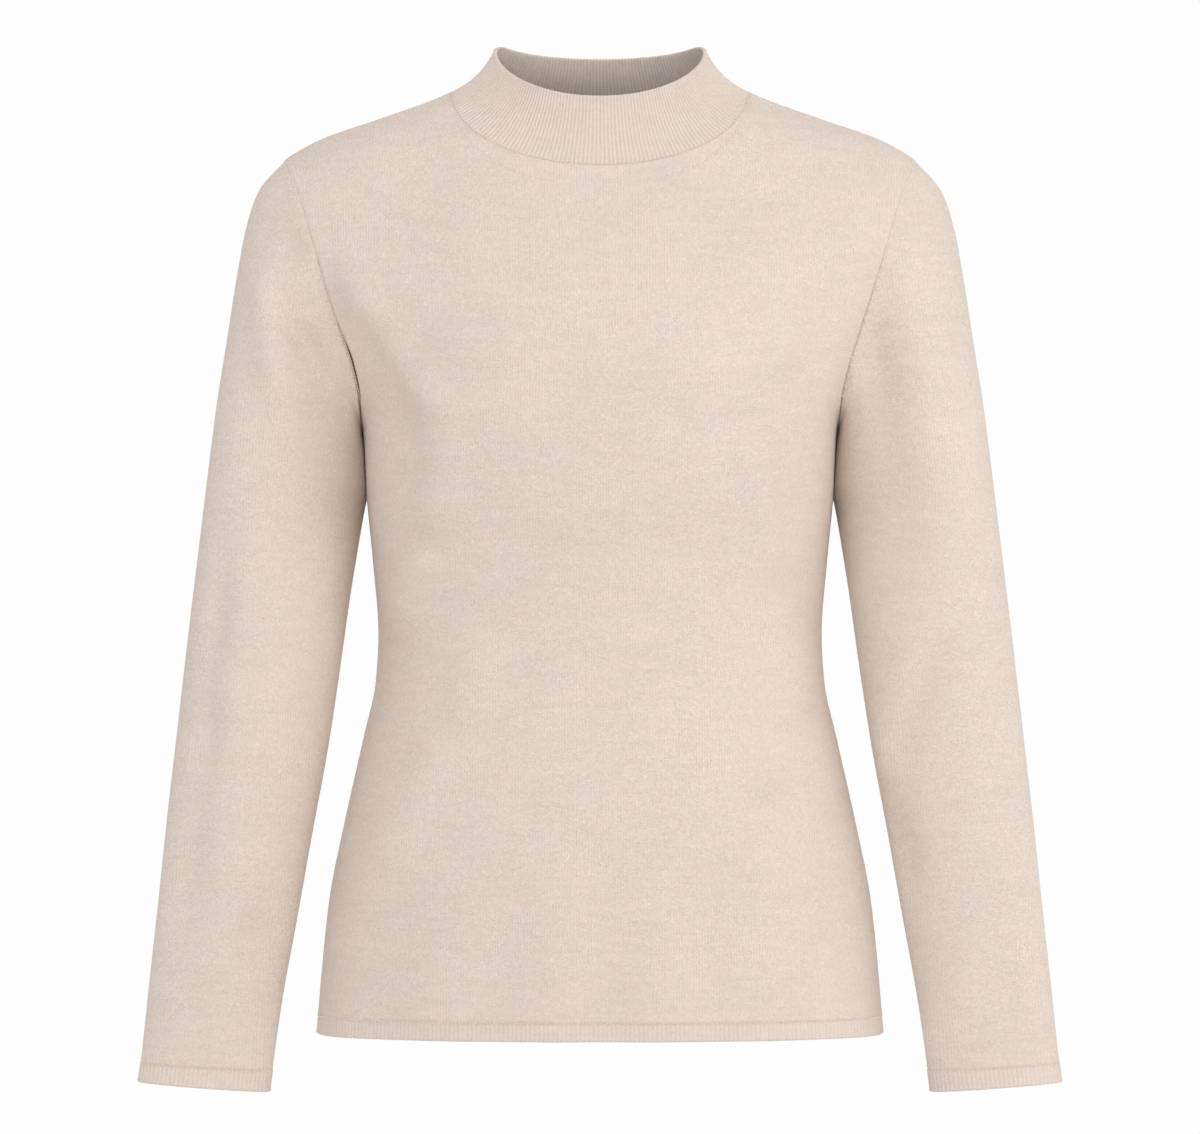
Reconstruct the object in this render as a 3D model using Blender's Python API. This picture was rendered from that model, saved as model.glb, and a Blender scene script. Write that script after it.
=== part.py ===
"""Knitted sweater with a ribbed mock neck, long set-in sleeves and a narrow ribbed hem.

It keeps the hollow form it has when worn.  Metres, +Z up, the front faces -Y, and
"left" and "right" are the wearer's, so the left sleeve lies at +X.  The origin is
midway between the two neck points, where the shoulders carry the garment.

Every piece is one sheet of knit: a grid of points on its outer face, and a second
grid set in from it by the cloth's thickness.  Neighbouring pieces share the points
of their seam, and each stands back from the seam by half of the gap.
"""
import math

import bmesh
import bpy
import numpy as np

CLOTH = 0.0015              # thickness of the jersey
RIB_CLOTH = 0.0016          # thickness of the ribbing between its ribs
RIB_HEIGHT = 0.0006         # how far a rib stands out
SEAM_GAP = 0.0003           # space between two pieces at a seam
LONGEST_MITRE = 1.6         # how far a seam's edge may lengthen where cloth turns back

SLEEVE_CLEARANCE = 0.0012   # space between the upper sleeve and the body beside it
CLEARANCE_START = 0.006     # how far below the underarm that space is full
CLEARANCE_END = 0.120       # how far below it the sleeve has left the body by itself
CLEARANCE_BLEND = 0.0006    # how softly the sleeve's form turns into the body's side

UNDERARM_HEIGHT = -0.218
SHOULDER_TIP_HEIGHT = -0.0452
HEM_SEAM_HEIGHT = -0.5950
HEM_HEIGHT = -0.6066

NECK_HALF_WIDTH = 0.095     # neck points, at height zero
FRONT_NECK_DROP = 0.0495
BACK_NECK_DROP = 0.015
NECKLINE_ROUNDNESS = 2.05

COLLAR_TOP_HALF_WIDTH = 0.0675
COLLAR_TOP_DEPTH = 0.047    # of the top edge ahead of the origin, and behind it
COLLAR_BOW = 0.0055         # how far the collar's side bows in at the front and back
COLLAR_SIDE_BOW = 0.0068    # the same above the shoulders

COLLAR_RIBS = 192
HEM_RIBS = 164              # on each half of the hem
CUFF_RIBS = 68
COLUMNS_PER_RIB = 2
OUTER_PER_INNER = 4         # outer columns of a ribbed piece to each inner one

SHOULDER_COLUMNS = 5
NECK_COLUMNS = 16
LOWER_ROWS = 13
ARMHOLE_ROWS = 10
COLLAR_ROWS = 3
HEM_ROWS = 1
CUFF_ROWS = 1


def table(names, *rows):
    """Named columns of a table that is written row by row."""
    return dict(zip(names.split(), np.array(rows, float).T))


# Level slices of the body's outer face, from the hem to the neck points
SLICES = table(
    "height  half_width front_depth back_depth squareness",
    (-0.620, 0.1834, 0.1060, 0.1120, 2.30),
    (-0.573, 0.1796, 0.1070, 0.1130, 2.30),
    (-0.521, 0.1742, 0.1080, 0.1120, 2.30),
    (-0.470, 0.1642, 0.1060, 0.1070, 2.25),
    (-0.418, 0.1525, 0.1020, 0.0990, 2.20),
    (-0.379, 0.1441, 0.0985, 0.0930, 2.20),
    (-0.350, 0.1425, 0.0980, 0.0910, 2.20),
    (-0.302, 0.1461, 0.1040, 0.0935, 2.20),
    (-0.260, 0.1502, 0.1130, 0.0985, 2.20),
    (-0.218, 0.1530, 0.1185, 0.1030, 2.20),
    (-0.187, 0.1660, 0.1185, 0.1045, 2.10),
    (-0.150, 0.1894, 0.1115, 0.1050, 2.00),
    (-0.123, 0.2100, 0.1015, 0.1035, 2.00),
    (-0.102, 0.2241, 0.0915, 0.1005, 2.00),
    (-0.0735, 0.2275, 0.0755, 0.0925, 2.00),
    (-0.0587, 0.2190, 0.0665, 0.0855, 1.95),
    (-0.0452, 0.2040, 0.0600, 0.0785, 1.85),
    (-0.0310, 0.1795, 0.0545, 0.0720, 1.75),
    (-0.0181, 0.1425, 0.0490, 0.0655, 1.70),
    (-0.0052, 0.1064, 0.0440, 0.0590, 1.70),
    (0.0000, 0.0950, 0.0420, 0.0565, 1.70),
)

# The collar's top edge, from the middle of the back (facing -1) by the shoulder (0) to
# the middle of the front (1)
COLLAR_TOP = table(
    "facing height",
    (-1.00, 0.0244),
    (-0.75, 0.0268),
    (-0.50, 0.0293),
    (-0.33, 0.0304),
    (-0.15, 0.0290),
    (0.00, 0.0262),
    (0.20, 0.0212),
    (0.60, 0.0086),
    (1.00, -0.0051),
)

# Each armhole's seam, from the underarm to the shoulder's tip: its distance from the
# sweater's middle at the front and at the back
ARMHOLE_SEAM = table(
    "height  front_x back_x",
    (-0.2180, 0.1530, 0.1530),
    (-0.2010, 0.1540, 0.1565),
    (-0.1760, 0.1593, 0.1640),
    (-0.1620, 0.1640, 0.1690),
    (-0.1300, 0.1742, 0.1790),
    (-0.0960, 0.1845, 0.1885),
    (-0.0610, 0.1955, 0.1980),
    (-0.0452, 0.2040, 0.2040),
)

# Rings of a sleeve, from the armhole to the end of the cuff: its outer and inner
# edges, half of its depth, how far its middle lies ahead of the shoulder, and how far
# its inner edge lies behind that, where the sleeve wraps round the side of the body
SLEEVE_RINGS = table(
    "outer_x outer_z  inner_x inner_z  half_depth forward inner_back",
    (0.2040, -0.0452, 0.1530, -0.2180, 0.0560, 0.0000, 0.0000),
    (0.2200, -0.0640, 0.1530, -0.2215, 0.0560, 0.0015, 0.0050),
    (0.2278, -0.0870, 0.1515, -0.2265, 0.0550, 0.0050, 0.0120),
    (0.2340, -0.1210, 0.1495, -0.2325, 0.0530, 0.0100, 0.0200),
    (0.2398, -0.1600, 0.1475, -0.2400, 0.0500, 0.0155, 0.0280),
    (0.2462, -0.2020, 0.1465, -0.2490, 0.0465, 0.0200, 0.0330),
    (0.2520, -0.2480, 0.1508, -0.2640, 0.0435, 0.0215, 0.0320),
    (0.2586, -0.3020, 0.1592, -0.3155, 0.0405, 0.0220, 0.0160),
    (0.2648, -0.3535, 0.1661, -0.3668, 0.0380, 0.0228, 0.0060),
    (0.2714, -0.4110, 0.1748, -0.4240, 0.0350, 0.0235, 0.0020),
    (0.2776, -0.4650, 0.1846, -0.4775, 0.0315, 0.0250, 0.0000),
    (0.2834, -0.5210, 0.1944, -0.5330, 0.0270, 0.0270, 0.0000),
    (0.2892, -0.5740, 0.2037, -0.5845, 0.0230, 0.0285, 0.0000),
    (0.2945, -0.6243, 0.2100, -0.6292, 0.0195, 0.0300, 0.0000),
    (0.2962, -0.6364, 0.2118, -0.6428, 0.0190, 0.0305, 0.0000),
)
CAP_RING = 6                # the ring by which the armhole's own shape has faded out
CUFF_RING = 13              # the ring at the cuff's seam
LAST_RING = 14
SLEEVE_STEPS = (0, 0.8, 1.5, 2.2, 2.9, 3.6, 4.3, 5.1, 5.9,
                6.6, 7.3, 8, 8.6, 9.2, 9.8, 10.4, 11, 11.6, 12.3, 13)

# Soft folds, each a straight ridge or, with a negative rise, a trough, between two
# places in the view from the front (x and z), with the half width of its swell
FOLD_COLUMNS = "x0 z0 x1 z1 half_width rise"
FRONT_FOLDS = table(
    FOLD_COLUMNS,
    (-0.1610, -0.1140, -0.1265, -0.1786, 0.012, 0.0030),
    (-0.1200, -0.1850, -0.0960, -0.2090, 0.012, 0.0030),
    (-0.0925, -0.2230, -0.1080, -0.2820, 0.014, 0.0042),
    (-0.1140, -0.2990, -0.1290, -0.3440, 0.013, 0.0036),
    (-0.1560, -0.1600, -0.1290, -0.2350, 0.020, -0.0036),
    (-0.0740, -0.3550, -0.0890, -0.3990, 0.014, 0.0026),
    (-0.0980, -0.4200, -0.1380, -0.4900, 0.015, 0.0030),
    (0.0960, -0.2360, 0.1090, -0.3120, 0.014, 0.0032),
    (0.1140, -0.3330, 0.1290, -0.3930, 0.014, 0.0030),
    (0.1350, -0.4120, 0.1460, -0.4530, 0.013, 0.0020),
    (0.0400, -0.2230, 0.0880, -0.2180, 0.020, -0.0028),
    (0.1500, -0.1330, 0.1210, -0.2000, 0.013, -0.0020),
)
BACK_FOLDS = table(
    FOLD_COLUMNS,
    (-0.0900, -0.2400, -0.1200, -0.3500, 0.016, -0.0034),
    (0.0950, -0.2300, 0.1180, -0.3450, 0.016, -0.0036),
    (-0.1450, -0.1500, -0.1050, -0.2150, 0.014, 0.0028),
    (0.1480, -0.1450, 0.1120, -0.2200, 0.014, 0.0026),
    (-0.0600, -0.3300, 0.0400, -0.3520, 0.013, -0.0030),
    (-0.0200, -0.3660, 0.0800, -0.3800, 0.013, -0.0026),
    (0.0600, -0.4000, 0.0950, -0.5000, 0.016, 0.0028),
    (-0.0700, -0.4000, -0.1000, -0.5100, 0.016, 0.0026),
)
# Folds of each sleeve: height of its middle, angle round the sleeve from its outer
# edge towards the front, half length, half angle, rise, and its turn with height
SLEEVE_FOLD_COLUMNS = "height angle half_length half_angle rise turn"
RIGHT_SLEEVE_FOLDS = table(
    SLEEVE_FOLD_COLUMNS,
    (-0.097, 52, 0.024, 24, -0.0024, 0),
    (-0.185, 62, 0.060, 18, 0.0026, 0),
    (-0.160, 88, 0.045, 14, -0.0030, -380),
    (-0.150, 114, 0.045, 14, 0.0028, -120),
    (-0.360, 44, 0.016, 26, -0.0024, 300),
    (-0.384, 58, 0.015, 22, 0.0022, 200),
    (-0.410, 54, 0.018, 22, -0.0028, -300),
    (-0.487, 50, 0.040, 18, -0.0022, 0),
    (-0.536, 92, 0.034, 20, 0.0022, 200),
    (-0.300, 230, 0.050, 22, -0.0026, 380),
    (-0.380, 262, 0.022, 26, -0.0026, 300),
    (-0.430, 285, 0.045, 22, -0.0026, -360),
)
LEFT_SLEEVE_FOLDS = table(
    SLEEVE_FOLD_COLUMNS,
    (-0.155, 125, 0.045, 14, 0.0024, 0),
    (-0.170, 102, 0.065, 15, -0.0028, 20),
    (-0.250, 78, 0.080, 20, 0.0020, 0),
    (-0.375, 101, 0.046, 15, -0.0028, -600),
    (-0.425, 149, 0.024, 16, 0.0024, 0),
    (-0.445, 80, 0.022, 18, 0.0018, -200),
    (-0.490, 146, 0.036, 18, -0.0024, 0),
    (-0.560, 70, 0.036, 24, -0.0022, -330),
    (-0.280, 235, 0.050, 22, -0.0024, -380),
    (-0.395, 255, 0.022, 26, -0.0026, -300),
    (-0.450, 275, 0.045, 22, -0.0026, 360),
)

BUST_HALF_SPACING = 0.076
BUST_HEIGHT = -0.187
BUST_RADIUS = 0.052
BUST_RISE = 0.0065

FLUTE_SPACING = 0.0680      # between the soft flutes above the hem
FLUTE_MIDDLE = 0.0370       # the crest of the one beside the sweater's middle
FLUTE_DEPTH = 0.0014
FLUTE_START = -0.450
FLUTE_FULL = -0.580

RELIEF_FADE = 0.35          # how squarely the cloth faces forward or back where its
                            # relief is full, as a cosine

CHEST_MIDDLE = np.array((0.0, 0.0, -0.160))
RAY_REACH = (0.2, 4.0)      # where rays from there may meet the body, in their own lengths
RAY_HALVINGS = 50

SHARP_ANGLE = math.radians(50)

OATMEAL = (0.72, 0.62, 0.53, 1.0)
OATMEAL_RIB = (0.69, 0.59, 0.50, 1.0)
WOOL_ROUGHNESS = 0.92


# ---------------------------------------------------------------- curves and tables

def unit(vectors):
    """The same directions with length one."""
    return vectors / np.linalg.norm(vectors, axis=-1, keepdims=True)


def smooth_curve(places, values, at):
    """A curve through a table's points that never overshoots them."""
    step = np.diff(places)
    slope = np.diff(values) / step
    tangent = np.zeros(len(values))
    tangent[0], tangent[-1] = slope[0], slope[-1]
    before, after = slope[:-1], slope[1:]
    turns = before * after <= 0
    total = np.where(turns, 1.0, before + after)
    tangent[1:-1] = np.where(turns, 0.0, 2 * before * after / total)
    at = np.clip(at, places[0], places[-1])
    left = np.clip(np.searchsorted(places, at, side="right") - 1, 0, len(step) - 1)
    part = (at - places[left]) / step[left]
    rest = 1 - part
    return (
        values[left] * rest ** 2 * (1 + 2 * part)
        + values[left + 1] * part ** 2 * (3 - 2 * part)
        + tangent[left] * step[left] * part * rest ** 2
        - tangent[left + 1] * step[left] * part ** 2 * rest
    )


def smooth_step(start, end, at):
    """Rises from 0 at start to 1 at end."""
    part = np.clip((at - start) / (end - start), 0, 1)
    return part ** 2 * (3 - 2 * part)


def oval_edge(part, roundness):
    """Height of a rounded square's edge, from 1 at its middle to 0 at its end."""
    return (1 - np.clip(np.abs(part), 0, 1) ** roundness) ** (1 / roundness)


# ---------------------------------------------------------------------- the body

def slice_at(column, height):
    return smooth_curve(SLICES["height"], SLICES[column], height)


def fold_swell(folds, x, z):
    """Rise of the cloth over all of a panel's folds at (x, z)."""
    rise = np.zeros(np.broadcast(x, z).shape)
    for x0, z0, x1, z1, half_width, height in zip(*folds.values()):
        along_x, along_z = x1 - x0, z1 - z0
        length = math.hypot(along_x, along_z)
        along = ((x - x0) * along_x + (z - z0) * along_z) / length
        across = ((x - x0) * along_z - (z - z0) * along_x) / length
        ends = smooth_step(-half_width, half_width, along)
        ends = ends * smooth_step(-half_width, half_width, length - along)
        rise += height * ends * np.exp(-((across / half_width) ** 2))
    return rise


def body_relief(angle, radius, height):
    """Bust, folds and hem flutes, as a rise over the plain slice."""
    x = radius * np.sin(angle)
    facing = np.cos(angle)
    relief = np.where(
        facing > 0, fold_swell(FRONT_FOLDS, x, height), fold_swell(BACK_FOLDS, x, height)
    )
    for side in (-1, 1):
        across = (x - side * BUST_HALF_SPACING) / BUST_RADIUS
        up = (height - BUST_HEIGHT) / BUST_RADIUS
        relief += np.where(facing > 0, BUST_RISE * np.exp(-across ** 2 - up ** 2), 0)
    flutes = np.cos(2 * math.pi * (x - FLUTE_MIDDLE) / FLUTE_SPACING) * FLUTE_DEPTH
    flutes *= smooth_step(-FLUTE_START, -FLUTE_FULL, -height)
    return (relief + flutes) * smooth_step(0, RELIEF_FADE, np.abs(facing))


def body_radius(angle, height):
    """Distance from the body's middle line to its outer face."""
    squareness = slice_at("squareness", height)
    depth = np.where(
        np.cos(angle) > 0, slice_at("front_depth", height), slice_at("back_depth", height)
    )
    across = np.abs(np.sin(angle)) / slice_at("half_width", height)
    along = np.abs(np.cos(angle)) / depth
    radius = (across ** squareness + along ** squareness) ** (-1 / squareness)
    return radius + body_relief(angle, radius, height)


def body_point(angle, height):
    """A point of the outer face.  Angle 0 is the front, a quarter turn is +X."""
    radius = body_radius(angle, height)
    return np.stack(
        np.broadcast_arrays(radius * np.sin(angle), -radius * np.cos(angle), height), axis=-1
    )


def onto_body(points):
    """Slides points along rays from the middle of the chest to the outer face."""
    rays = points - CHEST_MIDDLE
    near = np.full(points.shape[:-1], RAY_REACH[0])
    far = np.full(points.shape[:-1], RAY_REACH[1])
    for _ in range(RAY_HALVINGS):
        middle = (near + far) / 2
        x, y, z = np.moveaxis(CHEST_MIDDLE + rays * middle[..., None], -1, 0)
        height = np.minimum(z, 0)
        inside = (np.hypot(x, y) < body_radius(np.arctan2(x, -y), height)) & (z <= 0)
        near = np.where(inside, middle, near)
        far = np.where(inside, far, middle)
    return CHEST_MIDDLE + rays * near[..., None]


def neckline(turn):
    """The collar's seam.  Turn 0 is the front, a quarter turn is the left neck point."""
    across = np.sin(turn)
    drop = np.where(np.cos(turn) > 0, FRONT_NECK_DROP, BACK_NECK_DROP)
    height = -drop * oval_edge(across, NECKLINE_ROUNDNESS)
    squareness = slice_at("squareness", height)
    depth = np.where(
        np.cos(turn) > 0, slice_at("front_depth", height), slice_at("back_depth", height)
    )
    x = NECK_HALF_WIDTH * across
    y = depth * oval_edge(x / slice_at("half_width", height), squareness)
    return body_point(np.arctan2(x, np.sign(np.cos(turn)) * y), height)


def shoulder_seam(part, side):
    """From the neck point (part 0) to the shoulder's tip (part 1)."""
    return body_point(np.full(np.shape(part), side * math.pi / 2), part * SHOULDER_TIP_HEIGHT)


def armhole(turn, side):
    """Turn 0 is the shoulder's tip, a quarter turn the front, a half the underarm."""
    middle = (SHOULDER_TIP_HEIGHT + UNDERARM_HEIGHT) / 2
    half_height = (SHOULDER_TIP_HEIGHT - UNDERARM_HEIGHT) / 2
    height = middle + half_height * np.cos(turn)
    front = np.sin(turn) > 0
    x, depth = (
        np.where(front, smooth_curve(places["height"], places["front_" + size], height),
                 smooth_curve(places["height"], places["back_" + size], height))
        for places, size in ((ARMHOLE_SEAM, "x"), (SLICES, "depth"))
    )
    forward = depth * oval_edge(x / slice_at("half_width", height),
                                slice_at("squareness", height))
    return body_point(np.arctan2(side * x, np.where(front, forward, -forward)), height)


# ---------------------------------------------------------------- sheets and seams

class Sheet:
    """A piece of knit: points of its outer face, in rows, and where its inner face lies.

    set_back moves a point away from its seam.  inward leads from each point of the
    outer face to the inner face, in units of the cloth's thickness.
    """

    def __init__(self, name, points, outward, closed=False):
        self.name = name
        self.points = points
        self.closed = closed
        self.set_back = np.zeros_like(points)
        across = step_along(points, 1, closed)
        self.normals = unit(np.cross(across, np.gradient(points, axis=0))) * outward
        self.inward = -self.normals


def step_along(points, axis, closed):
    if closed:
        return np.roll(points, -1, axis) - np.roll(points, 1, axis)
    return np.gradient(points, axis=axis)


def mitre(first, second):
    """Edge direction shared by two faces, long enough to keep both their thickness."""
    middle = unit(first + second)
    share = np.sum(middle * first, axis=-1, keepdims=True)
    return middle / np.maximum(share, 1 / LONGEST_MITRE)


def seam(first, second, closed=False, level=None):
    """Joins two edges that share their points, and returns how the seam's edge stands.

    Each edge is a list of (sheet, row, column) groups, one group to a seam point.
    level is the normal of the plane that a flat seam keeps to.
    """
    points = np.array([group[0][0].points[group[0][1:]] for group in first])
    faces = [
        unit(np.array([sum(sheet.normals[row, column] for sheet, row, column in group)
                       for group in edge]))
        for edge in (first, second)
    ]
    if level is not None:
        faces = [unit(face - np.outer(face @ level, level)) for face in faces]
    edge_direction = mitre(*faces)
    along = step_along(points, 0, closed)
    apart = unit(np.cross(along, edge_direction))
    centre = first[0][0][0].points.mean(axis=(0, 1))
    if np.sum(apart * (points - centre)) < 0:
        apart = -apart
    for edge, sign in ((first, -1), (second, 1)):
        for group, direction, away in zip(edge, edge_direction, apart):
            for sheet, row, column in group:
                sheet.inward[row, column] = -direction
                sheet.set_back[row, column] += sign * away * SEAM_GAP / 2
    return edge_direction, apart


def add_object(name, vertices, faces, material):
    """One closed solid, with its faces turned outwards."""
    shell = bmesh.new()
    corners = [shell.verts.new(vertex) for vertex in vertices]
    for face in faces:
        shell.faces.new([corners[number] for number in face])
    bmesh.ops.recalc_face_normals(shell, faces=shell.faces)
    mesh = bpy.data.meshes.new(name)
    shell.to_mesh(mesh)
    shell.free()
    mesh.shade_smooth()
    mesh.set_sharp_from_angle(angle=SHARP_ANGLE)
    mesh.materials.append(material)
    piece = bpy.data.objects.new(name, mesh)
    bpy.context.scene.collection.objects.link(piece)
    return piece


def two_triangles(vertices, a, b, c, d):
    """A four-sided face, split along its shorter diagonal."""
    if math.dist(vertices[a], vertices[c]) <= math.dist(vertices[b], vertices[d]):
        return [(a, b, c), (a, c, d)]
    return [(a, b, d), (b, c, d)]


def wall_faces(vertices, outer, inner, closed):
    """Faces of a wall whose outer and inner grids are arrays of vertex numbers.

    The outer grid has a whole number of columns to each inner one.
    """
    faces = []
    for grid in (outer, inner):
        rows, columns = grid.shape
        for row in range(rows - 1):
            for column in range(columns if closed else columns - 1):
                beside = (column + 1) % columns
                faces += two_triangles(vertices, grid[row, column], grid[row, beside],
                                       grid[row + 1, beside], grid[row + 1, column])
    columns = inner.shape[1]
    segments = columns if closed else columns - 1
    finer = outer.shape[1] // segments
    for row in (0, -1):
        for column in range(segments):
            here, beside = inner[row, column], inner[row, (column + 1) % columns]
            for step in range(finer):
                start = outer[row, column * finer + step]
                end = outer[row, (column * finer + step + 1) % outer.shape[1]]
                faces.append((start, end, here if 2 * step < finer else beside))
                if step == (finer - 1) // 2:
                    faces.append((end, beside, here))
    if not closed:
        for column in (0, -1):
            for row in range(outer.shape[0] - 1):
                faces += two_triangles(vertices, outer[row, column], outer[row + 1, column],
                                       inner[row + 1, column], inner[row, column])
    return faces


def add_wall(name, outer_points, inner_points, closed, material):
    """A closed wall between an outer and an inner grid of points."""
    numbers = np.arange(outer_points[..., 0].size + inner_points[..., 0].size)
    outer, inner = np.split(numbers, [outer_points[..., 0].size])
    vertices = np.concatenate((outer_points.reshape(-1, 3), inner_points.reshape(-1, 3)))
    outer = outer.reshape(outer_points.shape[:2])
    inner = inner.reshape(inner_points.shape[:2])
    faces = wall_faces(vertices, outer, inner, closed)
    return add_object(name, vertices, faces, material)


def add_sheet(sheet, material):
    """A plain piece of jersey."""
    outer = sheet.points + sheet.set_back
    inner = outer + sheet.inward * CLOTH
    return add_wall(sheet.name, outer, inner, sheet.closed, material)


# ------------------------------------------------------------------------- pieces

def blend_edges(bottom, top, start, end):
    """Fills a grid between four edges: bottom and top run across, start and end up."""
    across = np.linspace(0, 1, len(bottom))[None, :, None]
    up = np.linspace(0, 1, len(start))[:, None, None]
    between_sides = (1 - across) * start[:, None] + across * end[:, None]
    between_ends = (1 - up) * bottom[None] + up * top[None]
    corners = (
        (1 - up) * ((1 - across) * bottom[0] + across * bottom[-1])
        + up * ((1 - across) * top[0] + across * top[-1])
    )
    return between_sides + between_ends - corners


def panel_top(front):
    """The shoulder seams and the neckline between them, in order of angle."""
    first, last = (-1, 1) if front else (1, -1)
    part = np.linspace(1, 0, SHOULDER_COLUMNS + 1)
    middle = 0 if front else math.pi
    turn = middle + np.linspace(-math.pi / 2, math.pi / 2, NECK_COLUMNS + 1)
    return np.concatenate((
        shoulder_seam(part, first)[:-1],
        neckline(turn)[:-1],
        shoulder_seam(part[::-1], last),
    ))


def panel(front):
    """The front or the back, in rows from the hem's seam up to the shoulders."""
    columns = 2 * SHOULDER_COLUMNS + NECK_COLUMNS
    middle = 0 if front else math.pi
    angles = middle + np.linspace(-math.pi / 2, math.pi / 2, columns + 1)
    heights = np.linspace(HEM_SEAM_HEIGHT, UNDERARM_HEIGHT, LOWER_ROWS + 1)
    lower = body_point(angles[None, :], heights[:, None])
    turn = math.pi * np.linspace(1, 0, ARMHOLE_ROWS + 1)
    turn = turn if front else -turn
    first, last = (-1, 1) if front else (1, -1)
    upper = blend_edges(lower[-1], panel_top(front), armhole(turn, first), armhole(turn, last))
    inside = onto_body(upper[1:-1, 1:-1])
    upper[1:-1, 1:-1] = inside
    points = np.concatenate((lower, upper[1:]))
    return Sheet("front" if front else "back", points, outward=1)


def sleeve_ring(turn, place):
    """A ring of the left sleeve.  Turn 0 is its outer edge, a quarter turn its front."""
    key = np.arange(len(SLEEVE_RINGS["forward"]), dtype=float)

    def at(column):
        return smooth_curve(key, SLEEVE_RINGS[column], place)

    outer = np.array((at("outer_x"), 0, at("outer_z")))
    inner = np.array((at("inner_x"), 0, at("inner_z")))
    middle = (outer + inner) / 2 - np.array((0, at("forward"), 0))
    half = (outer - inner) / 2
    front = np.array((0, -at("half_depth"), 0))
    back = np.array((0, at("inner_back"), 0))
    inwards = (1 - np.cos(turn)) / 2
    return (
        middle + np.cos(turn)[:, None] * half + np.sin(turn)[:, None] * front
        + inwards[:, None] * back
    )


def sleeve_swell(folds, turn, height):
    """Rise of a sleeve's cloth over all of its folds."""
    rise = np.zeros(np.broadcast(turn, height).shape)
    for middle, angle, half_length, half_angle, swell, slant in zip(*folds.values()):
        up = (height - middle) / half_length
        degrees = np.degrees(turn) - angle - slant * (height - middle)
        around = ((degrees + 180) % 360 - 180) / half_angle
        rise += swell * np.exp(-up ** 2 - around ** 2)
    return rise


def clear_of_body(points):
    """Keeps the upper sleeve just outside the body's side."""
    x, y, z = np.moveaxis(points, -1, 0)
    depth = np.where(y < 0, slice_at("front_depth", z), slice_at("back_depth", z))
    side = slice_at("half_width", z) * oval_edge(y / depth, slice_at("squareness", z))
    drop = UNDERARM_HEIGHT - z
    part = smooth_step(0, CLEARANCE_START, drop)
    limit = side + SLEEVE_CLEARANCE * part
    pushed = (x + limit + np.hypot(x - limit, CLEARANCE_BLEND * part)) / 2
    below = (drop > 0) & (drop < CLEARANCE_END)
    return np.stack((np.where(below, pushed, x), y, z), axis=-1)


def sleeve_grid(turn, places, side):
    """Points of a sleeve, ring by ring, for the left (+1) or the right (-1) arm."""
    folds = LEFT_SLEEVE_FOLDS if side > 0 else RIGHT_SLEEVE_FOLDS
    armhole_shape = armhole(turn, 1) - sleeve_ring(turn, 0)
    rings = []
    for place in places:
        points = sleeve_ring(turn, place)
        centre = points.mean(axis=0)
        swell = sleeve_swell(folds, turn, points[:, 2])
        swell *= smooth_step(0, 1, place) * smooth_step(CUFF_RING, CUFF_RING - 1.0, place)
        points += unit(points - centre) * swell[:, None]
        points += armhole_shape * (1 - smooth_step(0, CAP_RING, place))
        if place > 0:
            points = clear_of_body(points)
        rings.append(points)
    return np.array(rings) * np.array((side, 1, 1))


def sleeve(side):
    """A sleeve, in rows from the armhole down to the cuff."""
    turn = math.pi * np.arange(2 * ARMHOLE_ROWS) / ARMHOLE_ROWS
    name = "sleeve_left" if side > 0 else "sleeve_right"
    return Sheet(name, sleeve_grid(turn, SLEEVE_STEPS, side), outward=side, closed=True)


def collar_point(turn, up):
    """The collar's outer face, from its seam (up 0) to its top edge (up 1)."""
    base = neckline(turn)
    sideways = base[..., 0] / COLLAR_TOP_HALF_WIDTH
    facing = -base[..., 1] / COLLAR_TOP_DEPTH
    across, along = np.moveaxis(unit(np.stack((sideways, facing), axis=-1)), -1, 0)
    height = smooth_curve(COLLAR_TOP["facing"], COLLAR_TOP["height"], along)
    top = np.stack((
        COLLAR_TOP_HALF_WIDTH * across, -COLLAR_TOP_DEPTH * along, height
    ), axis=-1)
    rise = top - base
    around = np.stack((along, across, np.zeros_like(across)), axis=-1)
    bow = COLLAR_BOW + (COLLAR_SIDE_BOW - COLLAR_BOW) * across ** 2
    inset = unit(np.cross(around, rise)) * (2 * bow * up * (1 - up))[..., None]
    return base + rise * up - inset


def hem_point(angle, up):
    """The hem's band, from its seam (up 0) down to its edge (up 1)."""
    return body_point(angle, HEM_SEAM_HEIGHT + (HEM_HEIGHT - HEM_SEAM_HEIGHT) * up)


def cuff_point(turn, up, side):
    """The cuff's band, from its seam (up 0) down to its edge (up 1)."""
    return sleeve_grid(turn, (CUFF_RING + (LAST_RING - CUFF_RING) * up,), side)[0]


def evenly_spaced(points, places, count):
    """Places along a line of points, an equal length apart."""
    lengths = np.linalg.norm(np.diff(points, axis=0), axis=-1)
    travelled = np.concatenate(((0,), np.cumsum(lengths)))
    return np.interp(np.linspace(0, travelled[-1], count + 1), travelled, places)


def along_line(places, values, at):
    """Values read off straight lines between a seam's points."""
    return np.stack([np.interp(at, places, column) for column in values.T], axis=-1)


def closed_line(values):
    """A ring's values with the first one again at the end."""
    return np.concatenate((values, values[:1]))


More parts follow.
